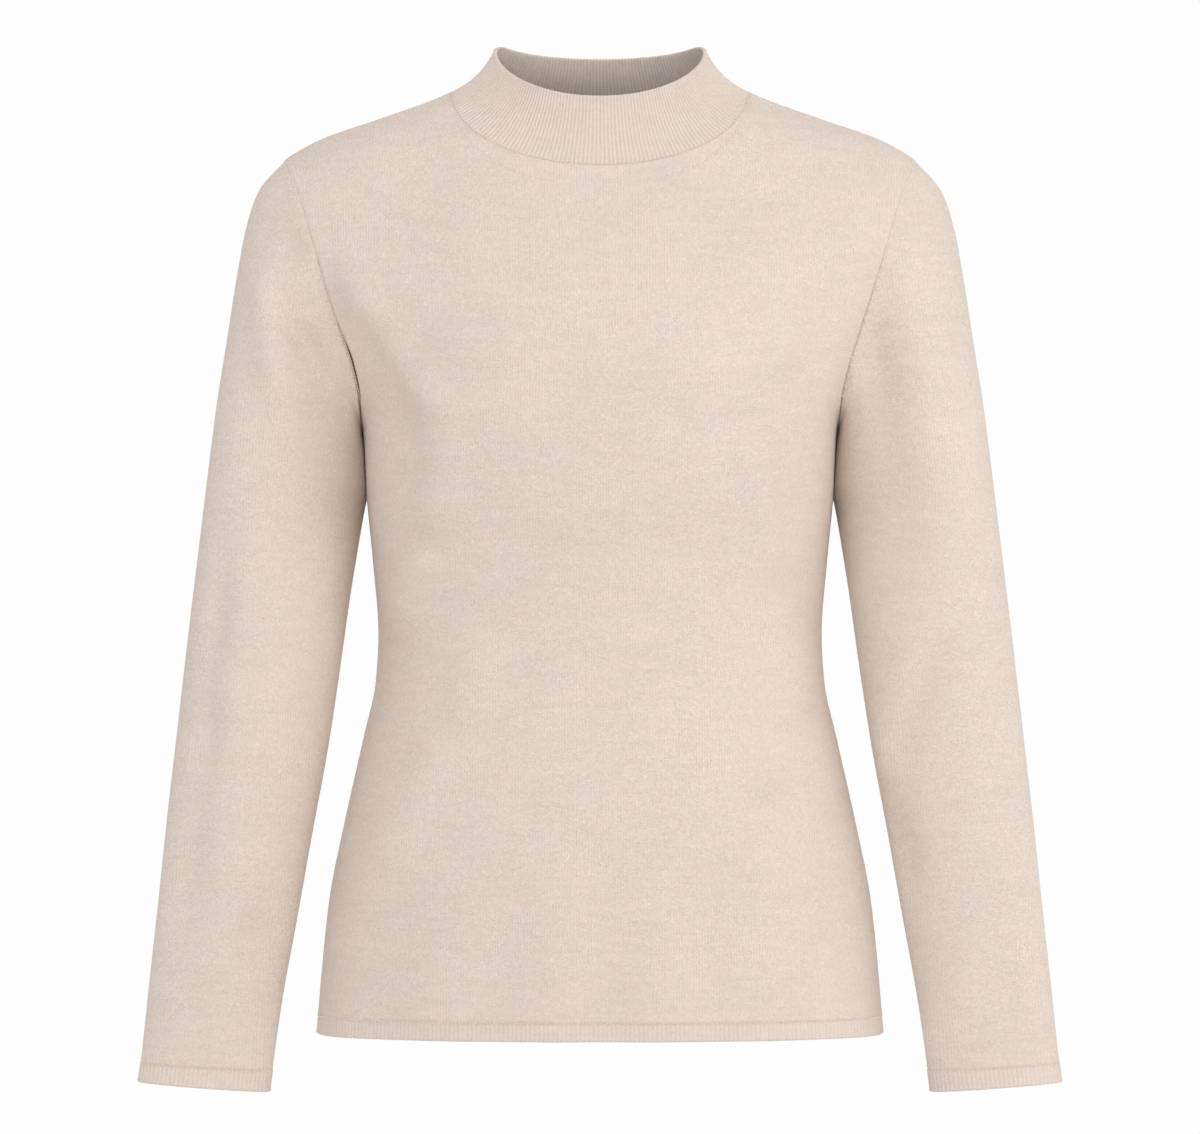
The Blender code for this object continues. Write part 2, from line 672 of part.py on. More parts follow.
class RibbedBand:
    """A ring of ribbing that starts at a seam, with its ribs over a plain inside.

    places are the seam points' places round the ring, with the first again at the
    end, and shape gives the outer face at a place and a height.
    """

    def __init__(self, places, nodes, edge, shape, rows, ribs, outward, halves=1):
        seam_points = closed_line(nodes.points[0])
        edge_direction, apart = (closed_line(values) for values in edge)
        count = len(places) // halves
        share = ribs * COLUMNS_PER_RIB // halves
        spread = [
            evenly_spaced(seam_points[start:start + count + 1],
                          places[start:start + count + 1], share)[:-1]
            for start in range(0, count * halves, count)
        ]
        at = np.concatenate(spread)
        grid = np.array([shape(at, row / rows) for row in range(rows + 1)])
        grid[0] = along_line(places, seam_points, at)
        self.ring = Sheet("ring", grid, outward, closed=True)
        self.ring.inward[0] = -along_line(places, edge_direction, at)
        self.ring.set_back[0] = along_line(places, apart, at) * SEAM_GAP / 2

    def add(self, name, material, half=None):
        """Adds the whole ring, or its first (0) or second (1) half."""
        ring = self.ring
        columns = np.arange(ring.points.shape[1])
        if half is not None:
            span = len(columns) // 2
            columns = np.arange(half * span, (half + 1) * span + 1) % len(columns)
        base = (ring.points + ring.set_back)[:, columns]
        inward = ring.inward[:, columns]
        if half is not None:
            for end, beside in ((0, 1), (-1, -2)):
                away = base[:, beside] - base[:, end]
                face = unit(inward[:, end])
                away = unit(away - np.sum(away * face, axis=-1, keepdims=True) * face)
                base[:, end] += away * SEAM_GAP / 2
        ridge = (np.arange(len(columns)) % COLUMNS_PER_RIB == 1)[None, :, None]
        outer = base - inward * RIB_HEIGHT * ridge
        inner = (base + inward * RIB_CLOTH)[:, ::OUTER_PER_INNER]
        add_wall(name, outer, inner, half is None, material)


# ---------------------------------------------------------------------- assembly

def knit_material(name, colour):
    material = bpy.data.materials.new(name)
    material.use_nodes = True
    surface = material.node_tree.nodes["Principled BSDF"]
    surface.inputs["Base Color"].default_value = colour
    surface.inputs["Roughness"].default_value = WOOL_ROUGHNESS
    surface.inputs["Metallic"].default_value = 0.0
    return material


def clear_scene():
    for old in list(bpy.data.objects):
        bpy.data.objects.remove(old, do_unlink=True)


# Seams.  A group is one seam point, as the sheets, rows and columns that share it.

def ring_groups(sheet, row=0):
    return [[(sheet, row, column)] for column in range(sheet.points.shape[1])]


def join_sides(front, back):
    """Side seams below the underarms, and shoulder seams."""
    columns = front.points.shape[1]
    for column, opposite in ((0, columns - 1), (columns - 1, 0)):
        seam([[(front, row, column)] for row in range(LOWER_ROWS + 1)],
             [[(back, row, opposite)] for row in range(LOWER_ROWS + 1)])
    for start in (0, columns - 1 - SHOULDER_COLUMNS):
        shoulder = range(start, start + SHOULDER_COLUMNS + 1)
        seam([[(front, -1, column)] for column in shoulder],
             [[(back, -1, columns - 1 - column)] for column in shoulder])


def join_sleeve(front, back, arm, side):
    """The armhole's seam, from the shoulder's tip by the front."""
    front_column, back_column = (-1, 0) if side > 0 else (0, -1)
    top = LOWER_ROWS + ARMHOLE_ROWS
    groups = [[(front, top, front_column), (back, top, back_column)]]
    groups += [[(front, row, front_column)] for row in range(top - 1, LOWER_ROWS, -1)]
    groups += [[(front, LOWER_ROWS, front_column), (back, LOWER_ROWS, back_column)]]
    groups += [[(back, row, back_column)] for row in range(LOWER_ROWS + 1, top)]
    seam(groups, ring_groups(arm), closed=True)


def panel_ring(front, back, row, columns):
    """Points once round both panels, from the right side by the front."""
    first, last = columns[0], columns[-1]
    groups = [[(front, row, column)] for column in columns[:-1]]
    groups += [[(back, row, column)] for column in columns[:-1]]
    groups[0].append((back, row, last))
    groups[len(columns) - 1].append((front, row, last))
    return groups


def ring_nodes(shape, places, outward):
    """A ribbed ring's face at its seam points alone, to set its seam by."""
    grid = np.array([shape(places[:-1], up) for up in (0, 0.5, 1)])
    return Sheet("nodes", grid, outward, closed=True)


def make_collar(front, back):
    shoulder = SHOULDER_COLUMNS
    columns = range(shoulder, shoulder + NECK_COLUMNS + 1)
    turns = math.pi * (np.arange(2 * NECK_COLUMNS + 1) / NECK_COLUMNS - 0.5)
    nodes = ring_nodes(collar_point, turns, 1)
    edge = seam(panel_ring(front, back, -1, columns), ring_groups(nodes), closed=True)
    return RibbedBand(turns, nodes, edge, collar_point, COLLAR_ROWS, COLLAR_RIBS, 1)


def make_hem(front, back):
    columns = range(front.points.shape[1])
    angles = math.pi * (np.arange(2 * len(columns) - 1) / (len(columns) - 1) - 0.5)
    nodes = ring_nodes(hem_point, angles, -1)
    edge = seam(panel_ring(front, back, 0, columns), ring_groups(nodes), closed=True,
                level=np.array((0.0, 0.0, 1.0)))
    return RibbedBand(angles, nodes, edge, hem_point, HEM_ROWS, 2 * HEM_RIBS, -1, halves=2)


def make_cuff(arm, side):
    turns = math.pi * np.arange(2 * ARMHOLE_ROWS + 1) / ARMHOLE_ROWS

    def shape(turn, up):
        return cuff_point(turn, up, side)

    nodes = ring_nodes(shape, turns, side)
    ring = nodes.points[0]
    quarter = ARMHOLE_ROWS // 2
    level = unit(np.cross(ring[quarter] - ring[-quarter], ring[0] - ring[2 * quarter]))
    edge = seam(ring_groups(arm, -1), ring_groups(nodes), closed=True, level=level)
    return RibbedBand(turns, nodes, edge, shape, CUFF_ROWS, CUFF_RIBS, side)


def main():
    clear_scene()
    jersey = knit_material("oatmeal_jersey", OATMEAL)
    ribbing = knit_material("oatmeal_ribbing", OATMEAL_RIB)
    front, back = panel(front=True), panel(front=False)
    join_sides(front, back)
    for side, word in ((1, "left"), (-1, "right")):
        arm = sleeve(side)
        join_sleeve(front, back, arm, side)
        make_cuff(arm, side).add("cuff_" + word, ribbing)
        add_sheet(arm, jersey)
    make_collar(front, back).add("collar", ribbing)
    hem = make_hem(front, back)
    hem.add("hem_front", ribbing, half=0)
    hem.add("hem_back", ribbing, half=1)
    add_sheet(front, jersey)
    add_sheet(back, jersey)


main()
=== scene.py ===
"""Finished look of the knitted sweater: fine melange jersey, ribbed neck, hem and cuffs.

Metres, +Z up, the front faces -Y, and "left" and "right" are the wearer's.  Each
piece of knit is a thin wall on its solid's form, with deeper folds, drawn as a fine
grid that rolls in at its seams.  Rows of linking stitches lie on the seams of the
armholes, neck, hem and cuffs.
"""
import math

import bpy
import numpy as np
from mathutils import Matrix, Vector


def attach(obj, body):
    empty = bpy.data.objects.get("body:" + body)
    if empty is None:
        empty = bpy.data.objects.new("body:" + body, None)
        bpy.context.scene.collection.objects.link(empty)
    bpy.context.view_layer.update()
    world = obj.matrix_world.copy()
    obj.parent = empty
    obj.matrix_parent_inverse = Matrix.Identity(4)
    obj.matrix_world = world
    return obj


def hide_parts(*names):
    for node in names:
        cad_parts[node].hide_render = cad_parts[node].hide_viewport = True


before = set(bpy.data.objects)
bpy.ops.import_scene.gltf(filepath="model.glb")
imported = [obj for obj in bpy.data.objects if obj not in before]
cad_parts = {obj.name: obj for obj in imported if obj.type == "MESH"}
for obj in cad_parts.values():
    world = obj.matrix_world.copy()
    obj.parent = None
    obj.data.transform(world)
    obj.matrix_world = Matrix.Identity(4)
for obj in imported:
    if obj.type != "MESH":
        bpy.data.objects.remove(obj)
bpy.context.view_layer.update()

# ------------------------------------------------------------------------- sizes

CLOTH = 0.0015              # thickness of the jersey
RIB_CLOTH = 0.0016          # thickness of the ribbing between its ribs
COLLAR_RIB_HEIGHT = 0.0006  # how far a rib stands out
BAND_RIB_HEIGHT = 0.0004    # the same on the hem and the cuffs
INNER_RIB_HEIGHT = 0.00038  # the same on the inside, between the outer ribs
RIB_SHARPNESS = 0.8         # below 1 the ribs are rounder and the grooves narrower
RIB_LIP_FADE = 0.0016       # how far from the free edge a rib is full
RIB_SEAM_FADE = (-0.0004, 0.0010)   # where a rib would start, and is full, beside its seam
LIP_ROLL = 0.00045          # how far a band's free edge rolls outwards
LIP_ROLL_PLACE = 0.0012     # of that roll's middle, from the edge
LIP_ROLL_WIDTH = 0.0007
THINNEST_LIP = 0.01         # square of the least share of a wall that is left at its edge
SEAM_GAP = 0.00004          # space between two pieces at a seam
SHARPEST_ANGLE = math.radians(60)   # between faces that are still shaded as one
LONGEST_MITRE = 1.6         # how far a seam's edge may lengthen where cloth turns back

SLEEVE_CLEARANCE = 0.0004   # space between the upper sleeve and the body beside it
CLEARANCE_START = 0.006     # how far below the underarm that space is full
CLEARANCE_END = 0.120       # how far below it the sleeve has left the body by itself
CLEARANCE_BLEND = 0.0003    # how softly the sleeve's form turns into the body's side

UNDERARM_HEIGHT = -0.218
SHOULDER_TIP_HEIGHT = -0.0452
HEM_SEAM_HEIGHT = -0.5950
HEM_HEIGHT = -0.6066

NECK_HALF_WIDTH = 0.095     # neck points, at height zero
FRONT_NECK_DROP = 0.0495
BACK_NECK_DROP = 0.015
NECKLINE_ROUNDNESS = 2.05
SHOULDER_SHARE = 5 / 26     # each shoulder seam's share of a panel's width

COLLAR_TOP_HALF_WIDTH = 0.0675
COLLAR_TOP_DEPTH = 0.047    # of the top edge ahead of the origin, and behind it
COLLAR_BOW = 0.0055         # how far the collar's side bows in at the front and back
COLLAR_SIDE_BOW = 0.0068    # the same above the shoulders
COLLAR_HEIGHT = 0.044       # up its slope, at the front

CAP_RING = 6                # the ring by which the armhole's own shape has faded out
CUFF_RING = 13              # the ring at the cuff's seam
LAST_RING = 14
SLEEVE_LENGTH = 0.60        # about, and so are the next two: they only space the grids
PANEL_WIDTH = 0.50
ARMHOLE_LENGTH = 0.19
CUFF_LENGTH = 0.0105

COLLAR_RIBS = 192
HEM_RIBS = 328
CUFF_RIBS = 68

WALE = 0.00186              # width of a stitch of the jersey
COURSE = 0.0011             # height of a stitch
RIB_PITCH = 0.0019          # of the ribbing's pattern, whatever it is stretched to

# Grids.  Rolled edges have closer rows, this far in from the seam or the free edge
ROLL_STEPS = np.array((0, 0.0005, 0.0011, 0.0019, 0.0029, 0.0041))
BAND_ROLL_STEPS = ROLL_STEPS[:4]
LIP_STEPS = np.array((0, 0.00008, 0.00024, 0.0005, 0.0009, 0.0015))
SHOULDER_COLUMNS = 22
NECK_COLUMNS = 84
LOWER_ROWS = 84
ARMHOLE_ROWS = 56
SLEEVE_ROWS = 150
COLLAR_ROWS = 30
HEM_ROWS = 7
CUFF_ROWS = 8
CLOSEST_ROWS = 0.0004       # between a band's even rows and the rows of its lip
RIB_COLUMNS = 6             # grid columns to a rib

ROLL_DEPTH = 0.00034        # how far a seam's edge sinks in
LINKED_ROLL = 0.0002        # the same where ribbing is linked on
ROLL_WIDTH = 0.0009         # how far in from the edge it sinks
SEAM_RIDGE = 0.00042        # the seam allowance pressed to the body's side
SEAM_RIDGE_PLACE = 0.0024   # of its crest, from the edge
SEAM_RIDGE_WIDTH = 0.0011
LINKED_RIDGE = 0.00026      # the loops that stand up where ribbing is linked on
LINKED_RIDGE_PLACE = 0.0019
LINKED_RIDGE_WIDTH = 0.0006


def table(names, *rows):
    """Named columns of a table that is written row by row."""
    return dict(zip(names.split(), np.array(rows, float).T))


# Level slices of the body's outer face, from the hem to the neck points
SLICES = table(
    "height  half_width front_depth back_depth squareness",
    (-0.620, 0.1834, 0.1060, 0.1120, 2.30),
    (-0.573, 0.1796, 0.1070, 0.1130, 2.30),
    (-0.521, 0.1742, 0.1080, 0.1120, 2.30),
    (-0.470, 0.1642, 0.1060, 0.1070, 2.25),
    (-0.418, 0.1525, 0.1020, 0.0990, 2.20),
    (-0.379, 0.1441, 0.0985, 0.0930, 2.20),
    (-0.350, 0.1425, 0.0980, 0.0910, 2.20),
    (-0.302, 0.1461, 0.1040, 0.0935, 2.20),
    (-0.260, 0.1502, 0.1130, 0.0985, 2.20),
    (-0.218, 0.1530, 0.1185, 0.1030, 2.20),
    (-0.187, 0.1660, 0.1185, 0.1045, 2.10),
    (-0.150, 0.1894, 0.1115, 0.1050, 2.00),
    (-0.123, 0.2100, 0.1015, 0.1035, 2.00),
    (-0.102, 0.2241, 0.0915, 0.1005, 2.00),
    (-0.0735, 0.2275, 0.0755, 0.0925, 2.00),
    (-0.0587, 0.2190, 0.0665, 0.0855, 1.95),
    (-0.0452, 0.2040, 0.0600, 0.0785, 1.85),
    (-0.0310, 0.1795, 0.0545, 0.0720, 1.75),
    (-0.0181, 0.1425, 0.0490, 0.0655, 1.70),
    (-0.0052, 0.1064, 0.0440, 0.0590, 1.70),
    (0.0000, 0.0950, 0.0420, 0.0565, 1.70),
)

# The collar's top edge, from the middle of the back (facing -1) by the shoulder (0) to
# the middle of the front (1)
COLLAR_TOP = table(
    "facing height",
    (-1.00, 0.0244),
    (-0.75, 0.0268),
    (-0.50, 0.0293),
    (-0.33, 0.0304),
    (-0.15, 0.0290),
    (0.00, 0.0262),
    (0.20, 0.0212),
    (0.60, 0.0086),
    (1.00, -0.0051),
)

# Each armhole's seam, from the underarm to the shoulder's tip: its distance from the
# sweater's middle at the front and at the back
ARMHOLE_SEAM = table(
    "height  front_x back_x",
    (-0.2180, 0.1530, 0.1530),
    (-0.2010, 0.1540, 0.1565),
    (-0.1760, 0.1593, 0.1640),
    (-0.1620, 0.1640, 0.1690),
    (-0.1300, 0.1742, 0.1790),
    (-0.0960, 0.1845, 0.1885),
    (-0.0610, 0.1955, 0.1980),
    (-0.0452, 0.2040, 0.2040),
)

# Rings of a sleeve, from the armhole to the end of the cuff: its outer and inner
# edges, half of its depth, how far its middle lies ahead of the shoulder, and how far
# its inner edge lies behind that, where the sleeve wraps round the side of the body
SLEEVE_RINGS = table(
    "outer_x outer_z  inner_x inner_z  half_depth forward inner_back",
    (0.2040, -0.0452, 0.1530, -0.2180, 0.0560, 0.0000, 0.0000),
    (0.2200, -0.0640, 0.1530, -0.2215, 0.0560, 0.0015, 0.0050),
    (0.2278, -0.0870, 0.1515, -0.2265, 0.0550, 0.0050, 0.0120),
    (0.2340, -0.1210, 0.1495, -0.2325, 0.0530, 0.0100, 0.0200),
    (0.2398, -0.1600, 0.1475, -0.2400, 0.0500, 0.0155, 0.0280),
    (0.2462, -0.2020, 0.1465, -0.2490, 0.0465, 0.0200, 0.0330),
    (0.2520, -0.2480, 0.1508, -0.2640, 0.0435, 0.0215, 0.0320),
    (0.2586, -0.3020, 0.1592, -0.3155, 0.0405, 0.0220, 0.0160),
    (0.2648, -0.3535, 0.1661, -0.3668, 0.0380, 0.0228, 0.0060),
    (0.2714, -0.4110, 0.1748, -0.4240, 0.0350, 0.0235, 0.0020),
    (0.2776, -0.4650, 0.1846, -0.4775, 0.0315, 0.0250, 0.0000),
    (0.2834, -0.5210, 0.1944, -0.5330, 0.0270, 0.0270, 0.0000),
    (0.2892, -0.5740, 0.2037, -0.5845, 0.0230, 0.0285, 0.0000),
    (0.2945, -0.6243, 0.2100, -0.6292, 0.0195, 0.0300, 0.0000),
    (0.2962, -0.6364, 0.2118, -0.6428, 0.0190, 0.0305, 0.0000),
)

# Soft folds, each a straight ridge or, with a negative rise, a trough, between two
# places in the view from the front (x and z), with the half width of its swell
FOLD_COLUMNS = "x0 z0 x1 z1 half_width rise"
FRONT_FOLDS = table(
    FOLD_COLUMNS,
    (-0.1610, -0.1140, -0.1265, -0.1786, 0.012, 0.0058),
    (-0.1200, -0.1850, -0.0960, -0.2090, 0.012, 0.0056),
    (-0.0925, -0.2230, -0.1080, -0.2820, 0.014, 0.0061),
    (-0.1140, -0.2990, -0.1290, -0.3440, 0.013, 0.0052),
    (-0.1500, -0.1520, -0.1240, -0.2320, 0.017, -0.0060),
    (-0.0740, -0.3550, -0.0890, -0.3990, 0.014, 0.0038),
    (-0.0980, -0.4200, -0.1380, -0.4900, 0.015, 0.0043),
    (0.0960, -0.2360, 0.1090, -0.3120, 0.014, 0.0046),
    (0.1140, -0.3330, 0.1290, -0.3930, 0.014, 0.0043),
    (0.1350, -0.4120, 0.1460, -0.4530, 0.013, 0.0029),
    (0.0400, -0.2230, 0.0880, -0.2180, 0.020, -0.0041),
    (0.1500, -0.1330, 0.1210, -0.2000, 0.013, -0.0029),
)
BACK_FOLDS = table(
    FOLD_COLUMNS,
    (-0.0900, -0.2400, -0.1200, -0.3500, 0.016, -0.0064),
    (0.0950, -0.2300, 0.1180, -0.3450, 0.016, -0.0068),
    (-0.1450, -0.1500, -0.1050, -0.2150, 0.014, 0.0052),
    (0.1480, -0.1450, 0.1120, -0.2200, 0.014, 0.0049),
    (-0.0600, -0.3300, 0.0400, -0.3520, 0.013, -0.0057),
    (-0.0200, -0.3660, 0.0800, -0.3800, 0.013, -0.0049),
    (0.0600, -0.4000, 0.0950, -0.5000, 0.016, 0.0052),
    (-0.0700, -0.4000, -0.1000, -0.5100, 0.016, 0.0049),
)
# Folds of each sleeve: height of its middle, angle round the sleeve from its outer
# edge towards the front, half length, half angle, rise, and its turn with height, in
# metres, degrees, and degrees a metre
SLEEVE_FOLD_COLUMNS = "height angle half_length half_angle rise turn"
RIGHT_SLEEVE_FOLDS = table(
    SLEEVE_FOLD_COLUMNS,
    (-0.097, 52, 0.024, 24, -0.0054, 0),
    (-0.172, 66, 0.052, 15, 0.0066, -420),
    (-0.150, 84, 0.040, 14, -0.0032, -380),
    (-0.168, 92, 0.034, 10, -0.0052, -780),
    (-0.145, 108, 0.040, 15, 0.0024, -120),
    (-0.335, 48, 0.046, 14, -0.0054, -50),
    (-0.384, 60, 0.016, 20, 0.0032, 200),
    (-0.412, 52, 0.030, 15, -0.0050, -50),
    (-0.487, 50, 0.040, 18, -0.0050, 0),
    (-0.536, 92, 0.034, 20, 0.0044, 200),
    (-0.300, 230, 0.050, 22, -0.0040, 380),
    (-0.380, 262, 0.022, 26, -0.0040, 300),
    (-0.430, 285, 0.045, 22, -0.0040, -360),
)
LEFT_SLEEVE_FOLDS = table(
    SLEEVE_FOLD_COLUMNS,
    (-0.155, 125, 0.045, 14, 0.0035, 0),
    (-0.170, 102, 0.065, 15, -0.0041, 20),
    (-0.250, 78, 0.080, 20, 0.0029, 0),
    (-0.375, 101, 0.046, 15, -0.0041, -600),
    (-0.425, 149, 0.024, 16, 0.0035, 0),
    (-0.445, 80, 0.022, 18, 0.0026, -200),
    (-0.490, 146, 0.036, 18, -0.0035, 0),
    (-0.560, 70, 0.036, 24, -0.0032, -330),
    (-0.280, 235, 0.050, 22, -0.0035, -380),
    (-0.395, 255, 0.022, 26, -0.0038, -300),
    (-0.450, 275, 0.045, 22, -0.0038, 360),
)

BUST_HALF_SPACING = 0.076
BUST_HEIGHT = -0.187
BUST_RADIUS = 0.052
BUST_RISE = 0.0065

FLUTE_SPACING = 0.0680      # between the soft flutes above the hem
FLUTE_MIDDLE = 0.0370       # the crest of the one beside the sweater's middle
FLUTE_DEPTH = 0.0014
FLUTE_START = -0.450
FLUTE_FULL = -0.580

RELIEF_FADE = 0.35          # how squarely the cloth faces forward or back where its
                            # relief is full, as a cosine
UPRIGHT = np.array((0.0, 0.0, 1.0))
CHEST_MIDDLE = np.array((0.0, 0.0, -0.160))
RAY_REACH = (0.2, 4.0)      # where rays from there may meet the body, in their own lengths
RAY_HALVINGS = 40


# ---------------------------------------------------------------- curves and tables

def unit(vectors):
    """The same directions with length one."""
    return vectors / np.linalg.norm(vectors, axis=-1, keepdims=True)


def smooth_curve(places, values, at):
    """A curve through a table's points that never overshoots them."""
    step = np.diff(places)
    slope = np.diff(values) / step
    tangent = np.zeros(len(values))
    tangent[0], tangent[-1] = slope[0], slope[-1]
    before, after = slope[:-1], slope[1:]
    turns = before * after <= 0
    total = np.where(turns, 1.0, before + after)
    tangent[1:-1] = np.where(turns, 0.0, 2 * before * after / total)
    at = np.clip(at, places[0], places[-1])
    left = np.clip(np.searchsorted(places, at, side="right") - 1, 0, len(step) - 1)
    part = (at - places[left]) / step[left]
    rest = 1 - part
    return (
        values[left] * rest ** 2 * (1 + 2 * part)
        + values[left + 1] * part ** 2 * (3 - 2 * part)
        + tangent[left] * step[left] * part * rest ** 2
        - tangent[left + 1] * step[left] * part ** 2 * rest
    )


def smooth_step(start, end, at):
    """Rises from 0 at start to 1 at end."""
    part = np.clip((at - start) / (end - start), 0, 1)
    return part ** 2 * (3 - 2 * part)


def swell(at, middle, width):
    """A soft bump of height one."""
    return np.exp(-((at - middle) / width) ** 2)


def oval_edge(part, roundness):
    """Height of a rounded square's edge, from 1 at its middle to 0 at its end."""
    return (1 - np.clip(np.abs(part), 0, 1) ** roundness) ** (1 / roundness)


# ---------------------------------------------------------------------- the body

def slice_at(column, height):
    """A column of the slices, read off at any height."""
    return smooth_curve(SLICES["height"], SLICES[column], height)


def depth_at(in_front, height):
    """How far the body reaches forward or back of the origin."""
    return np.where(
        in_front, slice_at("front_depth", height), slice_at("back_depth", height)
    )


def outline_depth(x, in_front, height):
    """How far forward or back a slice's plain outline lies at x."""
    part = x / slice_at("half_width", height)
    return depth_at(in_front, height) * oval_edge(part, slice_at("squareness", height))


def fold_swell(folds, x, z):
    """Rise of the cloth over all of a panel's folds at (x, z)."""
    rise = np.zeros(np.broadcast(x, z).shape)
    for x0, z0, x1, z1, half_width, height in zip(*folds.values()):
        along_x, along_z = x1 - x0, z1 - z0
        length = math.hypot(along_x, along_z)
        along = ((x - x0) * along_x + (z - z0) * along_z) / length
        across = ((x - x0) * along_z - (z - z0) * along_x) / length
        ends = smooth_step(-half_width, half_width, along)
        ends = ends * smooth_step(-half_width, half_width, length - along)
        rise += height * ends * swell(across, 0, half_width)
    return rise


def body_relief(angle, radius, height):
    """Bust, folds and hem flutes, as a rise over the plain slice."""
    x = radius * np.sin(angle)
    facing = np.cos(angle)
    relief = np.where(
        facing > 0, fold_swell(FRONT_FOLDS, x, height), fold_swell(BACK_FOLDS, x, height)
    )
    for side in (-1, 1):
        bust = BUST_RISE * swell(x, side * BUST_HALF_SPACING, BUST_RADIUS)
        bust = bust * swell(height, BUST_HEIGHT, BUST_RADIUS)
        relief += np.where(facing > 0, bust, 0)
    flutes = np.cos(2 * math.pi * (x - FLUTE_MIDDLE) / FLUTE_SPACING) * FLUTE_DEPTH
    flutes *= smooth_step(-FLUTE_START, -FLUTE_FULL, -height)
    return (relief + flutes) * smooth_step(0, RELIEF_FADE, np.abs(facing))


def body_radius(angle, height):
    """Distance from the body's middle line to its outer face."""
    squareness = slice_at("squareness", height)
    depth = depth_at(np.cos(angle) > 0, height)
    across = np.abs(np.sin(angle)) / slice_at("half_width", height)
    along = np.abs(np.cos(angle)) / depth
    radius = (across ** squareness + along ** squareness) ** (-1 / squareness)
    return radius + body_relief(angle, radius, height)


def body_point(angle, height):
    """A point of the outer face.  Angle 0 is the front, a quarter turn is +X."""
    radius = body_radius(angle, height)
    return np.stack(
        np.broadcast_arrays(radius * np.sin(angle), -radius * np.cos(angle), height), axis=-1
    )


def onto_body(points):
    """Slides points along rays from the middle of the chest to the outer face."""
    rays = points - CHEST_MIDDLE
    near = np.full(points.shape[:-1], RAY_REACH[0])
    far = np.full(points.shape[:-1], RAY_REACH[1])
    for _ in range(RAY_HALVINGS):
        middle = (near + far) / 2
        x, y, z = np.moveaxis(CHEST_MIDDLE + rays * middle[..., None], -1, 0)
        height = np.minimum(z, 0)
        inside = (np.hypot(x, y) < body_radius(np.arctan2(x, -y), height)) & (z <= 0)
        near = np.where(inside, middle, near)
        far = np.where(inside, far, middle)
    return CHEST_MIDDLE + rays * near[..., None]


def neckline(turn):
    """The collar's seam.  Turn 0 is the front, a quarter turn is the left neck point."""
    across = np.sin(turn)
    in_front = np.cos(turn) > 0
    drop = np.where(in_front, FRONT_NECK_DROP, BACK_NECK_DROP)
    height = -drop * oval_edge(across, NECKLINE_ROUNDNESS)
    x = NECK_HALF_WIDTH * across
    y = outline_depth(x, in_front, height)
    return body_point(np.arctan2(x, np.sign(np.cos(turn)) * y), height)


def shoulder_seam(part, side):
    """From the neck point (part 0) to the shoulder's tip (part 1)."""
    return body_point(np.full(np.shape(part), side * math.pi / 2), part * SHOULDER_TIP_HEIGHT)


def armhole(turn, side):
    """Turn 0 is the shoulder's tip, a quarter turn the front, a half the underarm."""
    middle = (SHOULDER_TIP_HEIGHT + UNDERARM_HEIGHT) / 2
    half_height = (SHOULDER_TIP_HEIGHT - UNDERARM_HEIGHT) / 2
    height = middle + half_height * np.cos(turn)
    in_front = np.sin(turn) > 0
    x = np.where(in_front, *(
        smooth_curve(ARMHOLE_SEAM["height"], ARMHOLE_SEAM[column], height)
        for column in ("front_x", "back_x")
    ))
    forward = outline_depth(x, in_front, height)
    return body_point(np.arctan2(side * x, np.where(in_front, forward, -forward)), height)


# ---------------------------------------------------------------- sheets and seams

def with_closer(steps, count, length, start=True, end=True):
    """Places from 0 to 1, evenly spaced but for closer ones beside a finished edge."""
    near = steps / length
    low = near if start else near[:1]
    high = 1 - near[::-1] if end else 1 - near[:1]
    return np.concatenate((low, np.linspace(low[-1], high[0], count + 1)[1:-1], high))


def step_along(points, axis, closed):
    """Direction from each point's neighbour before it to the one after it."""
    if closed:
        return np.roll(points, -1, axis) - np.roll(points, 1, axis)
    return np.gradient(points, axis=axis)


def running_sum(steps, axis):
    """Sums of the steps up to each point, zero at the first."""
    start = np.zeros_like(np.take(steps, [0], axis))
    return np.concatenate((start, np.cumsum(steps, axis)), axis)


def travelled(points, axis):
    """Length of cloth along each row or column, from the first point."""
    return running_sum(np.linalg.norm(np.diff(points, axis=axis), axis=-1), axis)


